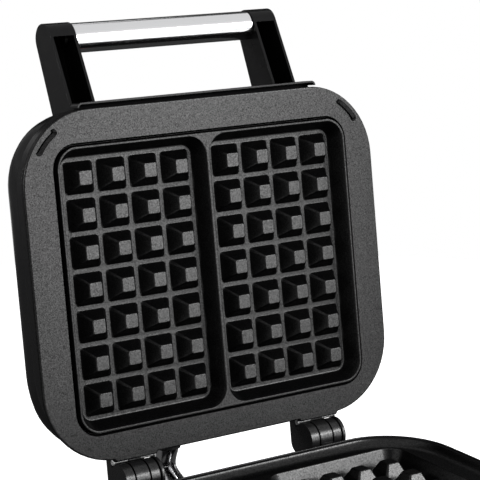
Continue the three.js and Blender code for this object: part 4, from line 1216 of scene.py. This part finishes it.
def add_lamp(name, location, target, size, power):
    """Rectangular lamp that faces the target."""
    light = bpy.data.lights.new(name, "AREA")
    light.shape = "RECTANGLE"
    light.size, light.size_y = size
    light.energy = power
    obj = add_object(name, light)
    obj.location = location
    obj.rotation_euler = (Vector(target) - Vector(location)).to_track_quat("-Z", "Y").to_euler()


def add_card(name, first, second, grey):
    """Card that only mirrors see, as used beside a bright subject to draw its edges."""
    (x0, y0, z0), (x1, y1, z1) = first, second
    if z0 == z1:
        corners = ((x0, y0, z0), (x1, y0, z0), (x1, y1, z0), (x0, y1, z0))
    else:
        corners = ((x0, y0, z0), (x1, y1, z0), (x1, y1, z1), (x0, y0, z1))
    card = Solid()
    card.cap(card.loop([Vector(corner) / MM for corner in corners]))
    obj = card.bare(name, Matrix.Identity(4))
    for rays in ("camera", "diffuse", "transmission", "shadow"):
        setattr(obj, f"visible_{rays}", False)
    finish = Finish(name, Base_Color=(grey, grey, grey, 1.0), Specular_IOR_Level=0.0)
    finish.feed("Roughness", spread(finish.noise(5.0), 0.8, 0.9))
    obj.data.materials.append(finish.material)


class MakeStage(bpy.types.Operator):
    """Camera, lamps, cards, surround and floor"""
    bl_idname = "waffle.make_stage"
    bl_label = "Stage"

    def execute(self, context):
        scene = context.scene
        settings = scene.waffle_stage
        scene.view_settings.view_transform = "Standard"
        data = bpy.data.cameras.new("Camera")
        data.lens = FOCAL_LENGTH
        data.sensor_width = SENSOR_WIDTH
        camera = add_object("Camera", data)
        camera.location = CAMERA_PLACE
        camera.rotation_euler = Euler([math.radians(turn) for turn in CAMERA_TURN])
        scene.camera = camera

        world = bpy.data.worlds.new("Studio")
        world.use_nodes = True
        world.node_tree.nodes.clear()
        scene.world = world
        sky = Shading(world.node_tree)
        soft = sky.add("ShaderNodeBackground", Color=(1.0, 1.0, 1.0, 1.0),
                       Strength=settings.surround)
        white = sky.add("ShaderNodeBackground", Color=(1.0, 1.0, 1.0, 1.0), Strength=1.0)
        sky.add("ShaderNodeOutputWorld", Surface=sky.choose(sky.seen(), soft, white))

        for name, (place, target, size, share) in LAMPS.items():
            add_lamp(name, place, target, size, settings.softbox * share)
        for name, (first, second, grey) in CARDS.items():
            add_card(name, first, second, grey)

        floor = Solid()
        floor.cap(floor.ring(circle(0.0, 0.0, FLOOR_RADIUS, steps=96), 0.0))
        plane = floor.object("Floor", Matrix.Identity(4))
        finish = Finish("Pale floor", Base_Color=(0.8, 0.8, 0.8, 1.0), Roughness=0.9)
        surface = Value(finish.tree, finish.shader.outputs[0])
        glow = finish.add("ShaderNodeEmission", Strength=0.9)
        lit = finish.add("ShaderNodeAddShader", i0=surface, i1=glow)
        choice = finish.choose(finish.seen(), surface, lit)
        finish.tree.links.new(choice.socket, finish.tree.nodes["Material Output"].inputs["Surface"])
        plane.data.materials.append(finish.material)
        return {"FINISHED"}


class WafflePanel(bpy.types.Panel):
    """Buttons that build the waffle maker's looks"""
    bl_idname = "WAFFLE_PT_build"
    bl_label = "Waffle Maker"
    bl_space_type = "VIEW_3D"
    bl_region_type = "UI"
    bl_category = "Waffle Maker"

    def draw(self, context):
        for operator in OPERATORS:
            self.layout.operator(operator.bl_idname)
        for name in SETTINGS:
            group = getattr(context.scene, name)
            for key in group.bl_rna.properties.keys()[2:]:
                self.layout.prop(group, key)


OPERATORS = (MakeStage, DressSolids, MakeGridPlates, MakeLid, MakeHandle, MakeHinges,
             MakeConduit, MakeBase)
SETTINGS = {
    "waffle_plates": PlateSettings,
    "waffle_housing": HousingSettings,
    "waffle_metal": MetalSettings,
    "waffle_stage": StageSettings,
}
CLASSES = (*SETTINGS.values(), *OPERATORS, WafflePanel)


def register():
    for cls in CLASSES:
        bpy.utils.register_class(cls)
    for name, group in SETTINGS.items():
        setattr(bpy.types.Scene, name, bpy.props.PointerProperty(type=group))


def unregister():
    for name in SETTINGS:
        delattr(bpy.types.Scene, name)
    for cls in reversed(CLASSES):
        bpy.utils.unregister_class(cls)


def main():
    register()
    bpy.ops.waffle.make_stage()
    bpy.ops.waffle.dress_solids()
    bpy.ops.waffle.make_grid_plates()
    bpy.ops.waffle.make_lid()
    bpy.ops.waffle.make_handle()
    bpy.ops.waffle.make_hinges()
    bpy.ops.waffle.make_conduit()
    bpy.ops.waffle.make_base()


if __name__ == "__main__":
    main()
